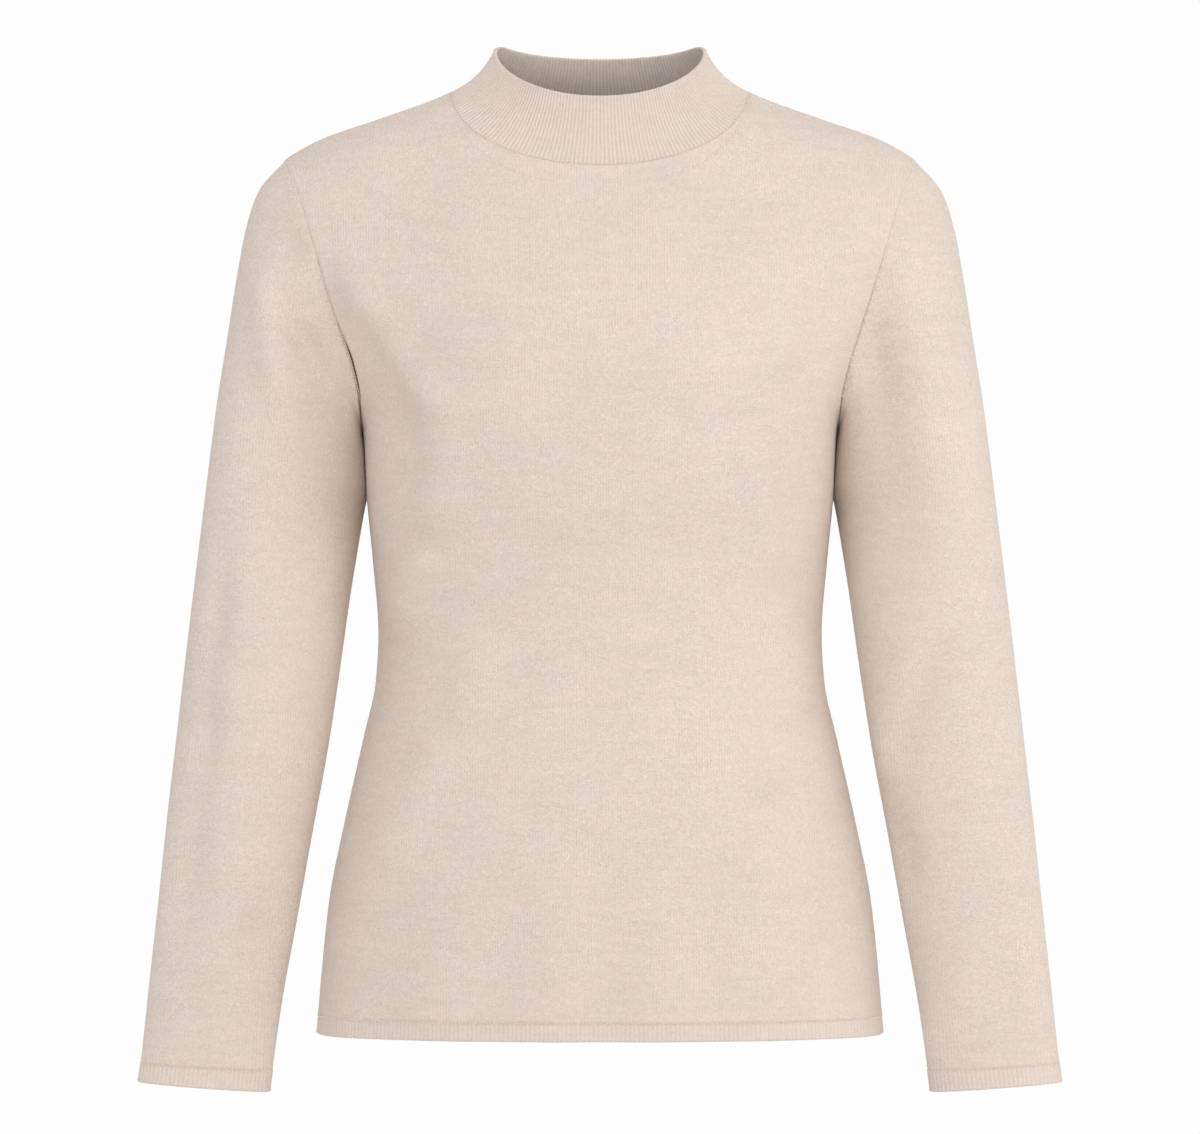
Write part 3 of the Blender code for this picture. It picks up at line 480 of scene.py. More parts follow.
class Sheet:
    """A piece of knit: points of its outer face, in rows, and where its inner face lies.

    set_back moves a point away from its seam.  inward leads from each point of the
    outer face to the inner face, in units of the cloth's thickness.  lift raises the
    outer face and inner_lift the inner face, and roundness thins the wall at a free edge.
    """

    def __init__(self, name, points, outward, closed=False):
        self.name = name
        self.points = points
        self.set_back = np.zeros_like(points)
        across = step_along(points, 1, closed)
        self.normals = unit(np.cross(across, np.gradient(points, axis=0))) * outward
        self.inward = -self.normals
        self.lift = np.zeros(points.shape[:2])
        self.inner_lift = np.zeros(points.shape[:2])
        self.roundness = np.ones(points.shape[:2])

    def from_edges(self):
        """Distance of each point from the first and last column and row, in that order."""
        across = travelled(self.points, 1)
        up = travelled(self.points, 0)
        return across, across[:, -1:] - across, up, up[-1:] - up

    def roll_in(self, distance, depth=ROLL_DEPTH):
        """Sinks the outer face beside a seam."""
        self.lift -= depth * swell(distance, 0, ROLL_WIDTH)

    def raise_allowance(self, distance):
        """The ridge of the seam allowance that is pressed under this side of a seam."""
        self.lift += SEAM_RIDGE * swell(distance, SEAM_RIDGE_PLACE, SEAM_RIDGE_WIDTH)

    def link(self, distance):
        """The line of loops beside an edge that ribbing is linked to."""
        self.roll_in(distance, LINKED_ROLL)
        self.lift += LINKED_RIDGE * swell(distance, LINKED_RIDGE_PLACE, LINKED_RIDGE_WIDTH)

    def round_lip(self, distance, thickness):
        """Rounds a free edge of the wall."""
        part = np.clip(1 - 2 * distance / thickness, 0, 1)
        self.roundness *= np.sqrt(np.maximum(1 - part ** 2, THINNEST_LIP))

    def faces_of_wall(self, thickness):
        """Points of the outer and of the inner face."""
        base = self.points + self.set_back
        middle = base + self.inward * thickness / 2
        half = self.roundness[..., None] * self.inward * thickness / 2
        outer = middle - half + self.normals * self.lift[..., None]
        inner = middle + half - self.normals * self.inner_lift[..., None]
        return outer, inner


def mitre(first, second):
    """Edge direction shared by two faces, long enough to keep both their thickness."""
    middle = unit(first + second)
    share = np.sum(middle * first, axis=-1, keepdims=True)
    return middle / np.maximum(share, 1 / LONGEST_MITRE)


def seam(first, second, closed=False, level=None):
    """Joins two edges that share their points, and returns how the seam's edge stands.

    Each edge is a list of (sheet, row, column) groups, one group to a seam point.
    level is the normal of the plane that a flat seam keeps to.
    """
    points = np.array([group[0][0].points[group[0][1:]] for group in first])
    faces = [
        unit(np.array([sum(sheet.normals[row, column] for sheet, row, column in group)
                       for group in edge]))
        for edge in (first, second)
    ]
    if level is not None:
        faces = [unit(face - np.outer(face @ level, level)) for face in faces]
    edge_direction = mitre(*faces)
    along = step_along(points, 0, closed)
    apart = unit(np.cross(along, edge_direction))
    centre = first[0][0][0].points.mean(axis=(0, 1))
    if np.sum(apart * (points - centre)) < 0:
        apart = -apart
    for edge, sign in ((first, -1), (second, 1)):
        for group, direction, away in zip(edge, edge_direction, apart):
            for sheet, row, column in group:
                sheet.inward[row, column] = -direction
                sheet.set_back[row, column] += sign * away * SEAM_GAP / 2
    return edge_direction, apart


# ------------------------------------------------------------------ mesh of a wall

def grid_faces(rows, columns, closed):
    """Corner places of a grid's four-sided faces, as (row, column) numbers."""
    row, column = np.meshgrid(
        np.arange(rows - 1), np.arange(columns if closed else columns - 1), indexing="ij"
    )
    row, column = row.ravel(), column.ravel()
    return np.stack((
        np.stack((row, column), -1), np.stack((row, column + 1), -1),
        np.stack((row + 1, column + 1), -1), np.stack((row + 1, column), -1),
    ), axis=1)


def rim_faces(rows, columns, closed):
    """Corners along each edge of the grid, as pairs of (row, column) places."""
    around = np.arange(columns if closed else columns - 1)
    edges = []
    for row, turned in ((0, False), (rows - 1, True)):
        pair = [np.stack((np.full_like(around, row), around + step), -1) for step in (0, 1)]
        edges.append(np.stack(pair[::-1] if turned else pair, 1))
    if not closed:
        up = np.arange(rows - 1)
        for column, turned in ((0, True), (columns - 1, False)):
            pair = [np.stack((up + step, np.full_like(up, column)), -1) for step in (0, 1)]
            edges.append(np.stack(pair[::-1] if turned else pair, 1))
    return np.concatenate(edges)


def add_object(name, data):
    """A new object in the scene."""
    thing = bpy.data.objects.new(name, data)
    bpy.context.scene.collection.objects.link(thing)
    return thing


def add_mesh(name, vertices, faces, material):
    """A smooth mesh of one material, added to the scene."""
    mesh = bpy.data.meshes.new(name)
    mesh.from_pydata(vertices.tolist(), [], faces)
    mesh.shade_smooth()
    mesh.materials.append(material)
    return add_object(name, mesh)


def add_wall(name, outer, inner, pattern, closed, outward, material):
    """A closed wall of knit, with its pattern's coordinates in metres as a UV map."""
    rows, columns = outer.shape[:2]
    inner_start = rows * columns
    quads = grid_faces(rows, columns, closed)
    rims = rim_faces(rows, columns, closed)

    def numbers(places, start):
        return start + places[..., 0] * columns + places[..., 1] % columns

    outside = numbers(quads, 0)
    inside = numbers(quads, inner_start)[:, ::-1]
    rim = np.concatenate((numbers(rims, 0)[:, ::-1], numbers(rims, inner_start)), axis=1)
    corners = np.concatenate((outside, inside, rim))
    places = np.concatenate((
        quads, quads[:, ::-1], np.concatenate((rims[:, ::-1], rims), axis=1)
    ))
    if outward < 0:
        corners, places = corners[:, ::-1], places[:, ::-1]
    vertices = np.concatenate((outer.reshape(-1, 3), inner.reshape(-1, 3)))
    piece = add_mesh("knitted_" + name, vertices, corners.tolist(), material)
    layer = piece.data.uv_layers.new(name="knit")
    flat = pattern[places[..., 0], places[..., 1]]
    layer.data.foreach_set("uv", flat.astype(np.float32).ravel())
    piece.data.set_sharp_from_angle(angle=SHARPEST_ANGLE)
    return piece


def panel_pattern(sheet):
    """Lengths across the upright wales and along them, for each point of a panel."""
    level = unit(np.cross(sheet.normals, UPRIGHT))
    upward = np.cross(level, sheet.normals)
    middle_level = (level[:, 1:] + level[:, :-1]) / 2
    across = running_sum(np.sum(np.diff(sheet.points, axis=1) * middle_level, axis=-1), 1)
    middle = across.shape[1] // 2
    across -= across[:, middle:middle + 1]
    middle_up = (upward[1:] + upward[:-1]) / 2
    along = running_sum(np.sum(np.diff(sheet.points, axis=0) * middle_up, axis=-1), 0)
    return np.stack((across, along), axis=-1)


# ------------------------------------------------------------------------- pieces

def blend_edges(bottom, top, start, end, across, up):
    """Fills a grid between four edges: bottom and top run across, start and end up."""
    across, up = across[None, :, None], up[:, None, None]
    between_sides = (1 - across) * start[:, None] + across * end[:, None]
    between_ends = (1 - up) * bottom[None] + up * top[None]
    corners = (
        (1 - up) * ((1 - across) * bottom[0] + across * bottom[-1])
        + up * ((1 - across) * top[0] + across * top[-1])
    )
    return between_sides + between_ends - corners


SHOULDER_PLACES = with_closer(ROLL_STEPS, SHOULDER_COLUMNS, PANEL_WIDTH * SHOULDER_SHARE,
                              end=False)
SHOULDER_PLACES = SHOULDER_PLACES * SHOULDER_SHARE
NECK_PLACES = np.linspace(0, 1, NECK_COLUMNS + 1)
PANEL_PLACES = np.concatenate((
    SHOULDER_PLACES[:-1],
    SHOULDER_SHARE + (1 - 2 * SHOULDER_SHARE) * NECK_PLACES[:-1],
    1 - SHOULDER_PLACES[::-1],
))
FIRST_NECK_COLUMN = len(SHOULDER_PLACES) - 1
LAST_NECK_COLUMN = FIRST_NECK_COLUMN + NECK_COLUMNS
ARMHOLE_PLACES = with_closer(ROLL_STEPS, ARMHOLE_ROWS, ARMHOLE_LENGTH, start=False)
LOWER_PLACES = with_closer(ROLL_STEPS, LOWER_ROWS, UNDERARM_HEIGHT - HEM_SEAM_HEIGHT,
                           end=False)
UNDERARM_ROW = len(LOWER_PLACES) - 1


def panel_top(front):
    """The shoulder seams and the neckline between them, in order of angle."""
    first, last = (-1, 1) if front else (1, -1)
    part = 1 - SHOULDER_PLACES / SHOULDER_SHARE
    middle = 0 if front else math.pi
    turn = middle + math.pi * (NECK_PLACES - 0.5)
    return np.concatenate((
        shoulder_seam(part, first)[:-1],
        neckline(turn)[:-1],
        shoulder_seam(part[::-1], last),
    ))


def panel(front):
    """The front or the back, in rows from the hem's seam up to the shoulders."""
    middle = 0 if front else math.pi
    angles = middle + math.pi * (PANEL_PLACES - 0.5)
    heights = HEM_SEAM_HEIGHT + (UNDERARM_HEIGHT - HEM_SEAM_HEIGHT) * LOWER_PLACES
    lower = body_point(angles[None, :], heights[:, None])
    turn = math.pi * (1 - ARMHOLE_PLACES)
    turn = turn if front else -turn
    first, last = (-1, 1) if front else (1, -1)
    upper = blend_edges(lower[-1], panel_top(front), armhole(turn, first),
                        armhole(turn, last), PANEL_PLACES, ARMHOLE_PLACES)
    upper[1:-1, 1:-1] = onto_body(upper[1:-1, 1:-1])
    points = np.concatenate((lower, upper[1:]))
    return Sheet("front" if front else "back", points, outward=1)


def sleeve_ring(turn, place):
    """A ring of the left sleeve.  Turn 0 is its outer edge, a quarter turn its front."""
    key = np.arange(len(SLEEVE_RINGS["forward"]), dtype=float)

    def at(column):
        return smooth_curve(key, SLEEVE_RINGS[column], place)

    outer = np.array((at("outer_x"), 0, at("outer_z")))
    inner = np.array((at("inner_x"), 0, at("inner_z")))
    middle = (outer + inner) / 2 - np.array((0, at("forward"), 0))
    half = (outer - inner) / 2
    front = np.array((0, -at("half_depth"), 0))
    back = np.array((0, at("inner_back"), 0))
    inwards = (1 - np.cos(turn)) / 2
    return (
        middle + np.cos(turn)[:, None] * half + np.sin(turn)[:, None] * front
        + inwards[:, None] * back
    )


def sleeve_swell(folds, turn, height):
    """Rise of a sleeve's cloth over all of its folds."""
    rise = np.zeros(np.broadcast(turn, height).shape)
    for middle, angle, half_length, half_angle, top, slant in zip(*folds.values()):
        up = (height - middle) / half_length
        degrees = np.degrees(turn) - angle - slant * (height - middle)
        around = ((degrees + 180) % 360 - 180) / half_angle
        rise += top * np.exp(-up ** 2 - around ** 2)
    return rise


def clear_of_body(points):
    """Keeps the upper sleeve just outside the body's side."""
    x, y, z = np.moveaxis(points, -1, 0)
    depth = depth_at(y < 0, z)
    side = slice_at("half_width", z) * oval_edge(y / depth, slice_at("squareness", z))
    drop = UNDERARM_HEIGHT - z
    part = smooth_step(0, CLEARANCE_START, drop)
    limit = side + SLEEVE_CLEARANCE * part
    pushed = (x + limit + np.hypot(x - limit, CLEARANCE_BLEND * part)) / 2
    below = (drop > 0) & (drop < CLEARANCE_END)
    return np.stack((np.where(below, pushed, x), y, z), axis=-1)


def sleeve_grid(turn, places, side):
    """Points of a sleeve, ring by ring, for the left (+1) or the right (-1) arm."""
    folds = LEFT_SLEEVE_FOLDS if side > 0 else RIGHT_SLEEVE_FOLDS
    armhole_shape = armhole(turn, 1) - sleeve_ring(turn, 0)
    rings = []
    for place in places:
        points = sleeve_ring(turn, place)
        centre = sleeve_ring(np.array((0.0, math.pi)), place).mean(axis=0)
        rise = sleeve_swell(folds, turn, points[:, 2])
        rise *= smooth_step(0, 1, place) * smooth_step(CUFF_RING, CUFF_RING - 1.0, place)
        points += unit(points - centre) * rise[:, None]
        points += armhole_shape * (1 - smooth_step(0, CAP_RING, place))
        if place > 0:
            points = clear_of_body(points)
        rings.append(points)
    return np.array(rings) * np.array((side, 1, 1))


SLEEVE_TURNS = math.pi * np.concatenate((ARMHOLE_PLACES - 1, 1 - ARMHOLE_PLACES[-2::-1]))
SLEEVE_PLACES = CUFF_RING * with_closer(ROLL_STEPS, SLEEVE_ROWS, SLEEVE_LENGTH)


def sleeve(side):
    """A sleeve, in rows from the armhole down to the cuff, sewn up along the underarm."""
    name = "sleeve_left" if side > 0 else "sleeve_right"
    return Sheet(name, sleeve_grid(SLEEVE_TURNS, SLEEVE_PLACES, side), outward=side)


def collar_point(turn, up):
    """The collar's outer face, from its seam (up 0) to its top edge (up 1)."""
    base = neckline(turn)
    sideways = base[..., 0] / COLLAR_TOP_HALF_WIDTH
    facing = -base[..., 1] / COLLAR_TOP_DEPTH
    across, along = np.moveaxis(unit(np.stack((sideways, facing), axis=-1)), -1, 0)
    height = smooth_curve(COLLAR_TOP["facing"], COLLAR_TOP["height"], along)
    top = np.stack((
        COLLAR_TOP_HALF_WIDTH * across, -COLLAR_TOP_DEPTH * along, height
    ), axis=-1)
    rise = top - base
    around = np.stack((along, across, np.zeros_like(across)), axis=-1)
    bow = COLLAR_BOW + (COLLAR_SIDE_BOW - COLLAR_BOW) * across ** 2
    inset = unit(np.cross(around, rise)) * (2 * bow * up * (1 - up))[..., None]
    return base + rise * up - inset


def hem_point(angle, up):
    """The hem's band, from its seam (up 0) down to its edge (up 1)."""
    return body_point(angle, HEM_SEAM_HEIGHT + (HEM_HEIGHT - HEM_SEAM_HEIGHT) * up)


def cuff_point(turn, up, side):
    """The cuff's band, from its seam (up 0) down to its edge (up 1)."""
    return sleeve_grid(turn, (CUFF_RING + (LAST_RING - CUFF_RING) * up,), side)[0]


def evenly_spaced(points, places, count):
    """Places along a line of points, an equal length apart."""
    run = travelled(points, 0)
    return np.interp(np.linspace(0, run[-1], count + 1), run, places)


def along_line(places, values, at):
    """Values read off straight lines between a seam's points."""
    return np.stack([np.interp(at, places, column) for column in values.T], axis=-1)


def closed_line(values):
    """A ring's values with the first one again at the end."""
    return np.concatenate((values, values[:1]))


class RibbedBand:
    """A ring of ribbing that starts at a seam and ends in a rounded lip."""

    def __init__(self, places, nodes, edge, shape, length, rows, ribs, rib_height, outward,
                 halves=1):
        seam_points = closed_line(nodes.points[0])
        edge_direction, apart = (closed_line(values) for values in edge)
        self.seam_line = (seam_points, edge_direction, apart)
        count = len(places) // halves
        share = ribs * RIB_COLUMNS // halves
        spread = [
            evenly_spaced(seam_points[start:start + count + 1],
                          places[start:start + count + 1], share)[:-1]
            for start in range(0, count * halves, count)
        ]
        at = np.concatenate(spread)
        seam_rows = with_closer(BAND_ROLL_STEPS, rows, length, end=False)
        lip_rows = 1 - LIP_STEPS[::-1] / length
        below_lip = seam_rows < lip_rows[0] - CLOSEST_ROWS / length
        up = np.concatenate((seam_rows[below_lip], lip_rows))
        grid = np.array([shape(at, place) for place in up])
        grid[0] = along_line(places, seam_points, at)
        self.ring = Sheet("ring", grid, outward, closed=True)
        self.ring.inward[0] = -along_line(places, edge_direction, at)
        self.ring.set_back[0] = along_line(places, apart, at) * SEAM_GAP / 2
        self.outward = outward
        rise = travelled(grid, 0)
        to_lip = rise[-1:] - rise
        wave = np.cos(2 * math.pi * (np.arange(grid.shape[1]) / RIB_COLUMNS))
        fade = smooth_step(0.0, RIB_LIP_FADE, to_lip) * smooth_step(*RIB_SEAM_FADE, rise)
        self.ring.lift += rib_height * (0.5 + 0.5 * wave) ** RIB_SHARPNESS * fade
        self.ring.inner_lift += INNER_RIB_HEIGHT * (0.5 - 0.5 * wave) * fade
        self.ring.roll_in(rise, LINKED_ROLL)
        self.ring.lift += LIP_ROLL * swell(to_lip, LIP_ROLL_PLACE, LIP_ROLL_WIDTH)
        self.ring.round_lip(to_lip, RIB_CLOTH)
        columns = np.arange(grid.shape[1] + 1) * RIB_PITCH / RIB_COLUMNS
        rise = np.concatenate((rise, rise[:, :1]), 1)
        self.pattern = np.stack((np.broadcast_to(columns, rise.shape), rise), -1)

    def add(self, name, material, half=None):
        """Adds the whole ring, or its first (0) or second (1) half."""
        ring = self.ring
        outer, inner = ring.faces_of_wall(RIB_CLOTH)
        if half is None:
            return add_wall(name, outer, inner, self.pattern, True, self.outward, material)
        span = outer.shape[1] // 2
        kept = np.arange(half * span, (half + 1) * span + 1)
        columns = kept % outer.shape[1]
        outer, inner = outer[:, columns], inner[:, columns]
        for end, beside in ((0, 1), (-1, -2)):
            face = unit(ring.inward[:, columns[end]])
            away = outer[:, beside] - outer[:, end]
            away = unit(away - np.sum(away * face, axis=-1, keepdims=True) * face)
            outer[:, end] += away * SEAM_GAP / 2
            inner[:, end] += away * SEAM_GAP / 2
        return add_wall(name, outer, inner, self.pattern[:, kept], False, self.outward, material)


# --------------------------------------------------------------------- seams joined

def join_sides(front, back):
    """Side seams below the underarms, and shoulder seams."""
    columns = front.points.shape[1]
    for column, opposite in ((0, columns - 1), (columns - 1, 0)):
        seam([[(front, row, column)] for row in range(UNDERARM_ROW + 1)],
             [[(back, row, opposite)] for row in range(UNDERARM_ROW + 1)])
    for start in (0, LAST_NECK_COLUMN):
        shoulder = range(start, start + FIRST_NECK_COLUMN + 1)
        seam([[(front, -1, column)] for column in shoulder],
             [[(back, -1, columns - 1 - column)] for column in shoulder])


def sewn_ring(arm, row):
    """A sleeve's row as a ring for seam(): its first and last points are one."""
    groups = [[(arm, row, column)] for column in range(arm.points.shape[1] - 1)]
    groups[0].append((arm, row, -1))
    return groups


def join_sleeve(front, back, arm, side):
    """The underarm seam of the sleeve, and the armhole's seam, from the underarm."""
    rows = range(arm.points.shape[0])
    seam([[(arm, row, 0)] for row in rows], [[(arm, row, -1)] for row in rows])
    front_column, back_column = (-1, 0) if side > 0 else (0, -1)
    last_column = arm.points.shape[1] - 1
    half = last_column // 2
    body = [[(front, UNDERARM_ROW, front_column), (back, UNDERARM_ROW, back_column)]]
    body += [[(back, UNDERARM_ROW + step, back_column)] for step in range(1, half)]
    body += [[(front, -1, front_column), (back, -1, back_column)]]
    body += [[(front, UNDERARM_ROW + step, front_column)] for step in range(half - 1, 0, -1)]
    edge_direction, apart = seam(body, sewn_ring(arm, 0), closed=True)
    line = arm.points[0, :last_column]
    return tuple(closed_line(values) for values in (line, edge_direction, apart))


def panel_ring(front, back, row, columns):
    """Points once round both panels, from the right side by the front."""
    groups = [[(front, row, column)] for column in columns[:-1]]
    groups += [[(back, row, column)] for column in columns[:-1]]
    groups[0].append((back, row, columns[-1]))
    groups[len(columns) - 1].append((front, row, columns[-1]))
    return groups


def ring_nodes(shape, places, outward):
    """A ribbed ring's face at its seam points alone, to set its seam by."""
    grid = np.array([shape(places[:-1], up) for up in (0, 0.5, 1)])
    return Sheet("nodes", grid, outward, closed=True)


def ring_groups(sheet):
    """The first row of a ring, for seam()."""
    return [[(sheet, 0, column)] for column in range(sheet.points.shape[1])]


def make_collar(front, back):
    """The neck's ribbing, linked to both panels."""
    columns = range(FIRST_NECK_COLUMN, LAST_NECK_COLUMN + 1)
    turns = math.pi * (np.arange(2 * NECK_COLUMNS + 1) / NECK_COLUMNS - 0.5)
    nodes = ring_nodes(collar_point, turns, 1)
    edge = seam(panel_ring(front, back, -1, columns), ring_groups(nodes), closed=True)
    return RibbedBand(turns, nodes, edge, collar_point, COLLAR_HEIGHT, COLLAR_ROWS,
                      COLLAR_RIBS, COLLAR_RIB_HEIGHT, 1)


def make_hem(front, back):
    """The hem's ribbing, linked to both panels."""
    columns = range(front.points.shape[1])
    half = math.pi * (PANEL_PLACES - 0.5)
    angles = np.concatenate((half[:-1], half + math.pi))
    nodes = ring_nodes(hem_point, angles, -1)
    edge = seam(panel_ring(front, back, 0, columns), ring_groups(nodes), closed=True,
                level=UPRIGHT)
    length = HEM_SEAM_HEIGHT - HEM_HEIGHT
    return RibbedBand(angles, nodes, edge, hem_point, length, HEM_ROWS, HEM_RIBS,
                      BAND_RIB_HEIGHT, -1, halves=2)


def make_cuff(arm, side):
    """A cuff's ribbing, linked to its sleeve."""
    def shape(turn, up):
        return cuff_point(turn, up, side)

    nodes = ring_nodes(shape, SLEEVE_TURNS, side)
    ring = nodes.points[0]
    quarter = len(ring) // 4
    level = unit(np.cross(ring[quarter] - ring[-quarter], ring[2 * quarter] - ring[0]))
    edge = seam(sewn_ring(arm, -1), ring_groups(nodes), closed=True, level=level)
    return RibbedBand(SLEEVE_TURNS, nodes, edge, shape, CUFF_LENGTH, CUFF_ROWS,
                      CUFF_RIBS, BAND_RIB_HEIGHT, side)


# ------------------------------------------------------------------------ stitches

BEAD_SIDES = 6
BEAD_RINGS = 3

# Where the fashioning marks lie: the row of a sleeve counted from the armhole, the row of
# the front counted from its top edge, and that row's columns counted from the neck point
SLEEVE_MARK_ROW = 6
NECK_MARK_ROW = -9
NECK_MARK_COLUMNS = np.arange(4, 34)

# Each row of beads: how far apart they are, a bead's half length across the seam, half
# width and height, its slant in radians, to one side and the other by turns where it is
# below zero, and how far its middle lies from the seam
STITCHES = {
    "armhole": (0.0021, 0.00050, 0.00085, 0.00030, 0.0, -0.0011),
    "collar": (0.0019, 0.00060, 0.00080, 0.00072, 0.0, 0.0),
    "hem": (0.0022, 0.00100, 0.00052, 0.00078, -0.6, 0.0),
    "cuff": (0.0019, 0.00090, 0.00045, 0.00058, -0.6, 0.0),
    "sleeve_mark": (0.0074, 0.00150, 0.00055, 0.00062, 0.35, 0.0),
    "neck_mark": (0.0036, 0.00150, 0.00055, 0.00062, 0.35, 0.0),
}


def bead():
    """Corners of a small round bead of radius one, and its faces."""
    falls = math.pi * np.arange(1, BEAD_RINGS + 1) / (BEAD_RINGS + 1)
    turns = 2 * math.pi * np.arange(BEAD_SIDES) / BEAD_SIDES
    fall, turn = np.meshgrid(falls, turns, indexing="ij")
    rings = np.stack((np.sin(fall) * np.cos(turn), np.sin(fall) * np.sin(turn), np.cos(fall)), -1)
    corners = np.concatenate((((0, 0, 1),), rings.reshape(-1, 3), ((0, 0, -1),)))
    faces = []
    last = len(corners) - 1
    for side in range(BEAD_SIDES):
        beside = (side + 1) % BEAD_SIDES
        faces.append((0, 1 + side, 1 + beside))
        for ring in range(BEAD_RINGS - 1):
            start = 1 + ring * BEAD_SIDES
            under = start + BEAD_SIDES
            faces.append((start + side, under + side, under + beside, start + beside))
        start = 1 + (BEAD_RINGS - 1) * BEAD_SIDES
        faces.append((start + side, last, start + beside))
    return corners, faces


def add_stitches(name, line, kind):
    """Small raised stitches along a seam, each a bead that crosses it.

    line is the seam's points, the way out of the cloth and the way across the seam.
    """
    points, outward, across = line
    spacing, half_length, half_width, height, slant, offset = STITCHES[kind]
    run = travelled(points, 0)
    at = np.arange(spacing / 2, run[-1], spacing)
    centre, out, over = (along_line(run, values, at) for values in (points, outward, across))
    out = unit(out)
    over = unit(over - np.sum(over * out, axis=-1, keepdims=True) * out)
    beside = np.cross(out, over)
    turn = abs(slant) * np.where(slant < 0, (-1.0) ** np.arange(len(at)), 1.0)[:, None]
    lengthways = over * np.cos(turn) + beside * np.sin(turn)
    sideways = np.cross(out, lengthways)
    corners, faces = bead()
    shaped = (
        centre[:, None] + over[:, None] * offset
        + corners[None, :, :1] * lengthways[:, None] * half_length
        + corners[None, :, 1:2] * sideways[:, None] * half_width
        + corners[None, :, 2:] * out[:, None] * height
    )
    numbers = [
        tuple(corner + stitch * len(corners) for corner in face)
        for stitch in range(len(at)) for face in faces
    ]
    piece = add_mesh(name, shaped.reshape(-1, 3), numbers, yarn)
    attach(piece, "root")


# ---------------------------------------------------------------------- materials

def operator(operation, turned=False):
    """Arithmetic between an Amount and what stands after it or, turned, before it."""
    def method(self, other):
        return self.math(operation, *((other, self) if turned else (self, other)))
    return method


class Amount:
    """A number that changes over the cloth.  Arithmetic on it adds Math nodes."""

    def __init__(self, recipe, socket):
        self.recipe = recipe
        self.socket = socket

    def math(self, operation, first, second=0.0):
        node = self.recipe.node("ShaderNodeMath", {"operation": operation}, (first, second))
        return Amount(self.recipe, node.outputs[0])

    __add__ = operator("ADD")
    __radd__ = operator("ADD", turned=True)
    __sub__ = operator("SUBTRACT")
    __rsub__ = operator("SUBTRACT", turned=True)
    __mul__ = operator("MULTIPLY")
    __rmul__ = operator("MULTIPLY", turned=True)
    __truediv__ = operator("DIVIDE")

    def __abs__(self):
        return self.math("ABSOLUTE", self)

    def part(self):
        """What is left over a whole number."""
        return self.math("FRACT", self)

    def wave(self):
        """A cosine between -1 and 1 that repeats each whole number."""
        return self.math("COSINE", self * (2 * math.pi))


class Recipe:
    """The nodes of one cloth's material."""

    def __init__(self, name):
        self.material = bpy.data.materials.new(name)
        self.material.use_nodes = True
        self.nodes = self.material.node_tree.nodes
        self.links = self.material.node_tree.links
        self.surface = self.nodes["Principled BSDF"]

    def node(self, kind, settings=None, inputs=()):
        """Any node: its settings first, then the values or links of its sockets."""
        node = self.nodes.new(kind)
        for name, value in (settings or {}).items():
            setattr(node, name, value)
        pairs = inputs.items() if isinstance(inputs, dict) else enumerate(inputs)
        for place, value in pairs:
            self.fill(node.inputs[place], value)
        return node

    def fill(self, socket, value):
        """Links a socket to an Amount or to another socket, or sets its value."""
        if isinstance(value, Amount):
            value = value.socket
        if isinstance(value, bpy.types.NodeSocket):
            self.links.new(value, socket)
        else:
            socket.default_value = value

    def noise(self, place, scale, detail=2.0, roughness=0.5, curl=0.0):
        """Soft noise about zero, over places in metres times a scale across and along."""
        stretched = self.node(
            "ShaderNodeVectorMath", {"operation": "MULTIPLY"}, (place, scale)
        ).outputs[0]
        node = self.node("ShaderNodeTexNoise", {}, {
            "Vector": stretched, "Scale": 1.0, "Detail": detail, "Roughness": roughness,
            "Distortion": curl,
        })
        return Amount(self, node.outputs[0]) - 0.5

    def mix(self, share, first, second):
        """A colour between two others."""
        node = self.node("ShaderNodeMix", {"data_type": "RGBA"}, {
            "Factor": share, 6: first, 7: second,
        })
        return node.outputs[2]

    def place(self):
        """Where a point of the cloth is, in metres from the origin."""
        return self.node("ShaderNodeTexCoord").outputs["Object"]

    def pattern(self):
        """The knit's own coordinates: the vector, and its two lengths."""
        place = self.node("ShaderNodeUVMap", {"uv_map": "knit"}).outputs[0]
        split = self.node("ShaderNodeSeparateXYZ", {}, (place,))
        return place, Amount(self, split.outputs[0]), Amount(self, split.outputs[1])

    def finish(self, colour, height, roughness):
        """Connects the surface and sets what is the same all over it."""
        bump = self.node("ShaderNodeBump", {}, {
            "Strength": 1.0, "Distance": 1.0, "Height": height,
        })
        sockets = {
            "Base Color": colour, "Roughness": roughness, "Normal": bump.outputs[0],
            "Sheen Weight": SHEEN, "Sheen Roughness": SHEEN_ROUGHNESS,
            "Sheen Tint": SHEEN_TINT, "Specular IOR Level": SPECULAR,
        }
        for name, value in sockets.items():
            self.fill(self.surface.inputs[name], value)
        return self.material


WARM_DARK = (0.650, 0.548, 0.451, 1.0)
WARM_LIGHT = (0.811, 0.684, 0.563, 1.0)
COOL_DARK = (0.631, 0.557, 0.519, 1.0)
COOL_LIGHT = (0.787, 0.695, 0.647, 1.0)
SHEEN = 0.05
SHEEN_ROUGHNESS = 0.45
SHEEN_TINT = (1.0, 0.96, 0.91, 1.0)
SPECULAR = 0.25

# Heights of what the bump draws, in metres
STITCH_HEIGHT = 0.00018
RIB_STITCH_HEIGHT = 0.00010
NAP_HEIGHT = 0.00065
FINE_NAP_HEIGHT = 0.00012
FUZZ_HEIGHT = 0.00005


def curls(recipe, place):
    """The short bent fibres of the nap, felted over the stitches."""
    return recipe.noise(place, (520.0, 520.0, 560.0), 2.5, 0.62, 1.7)


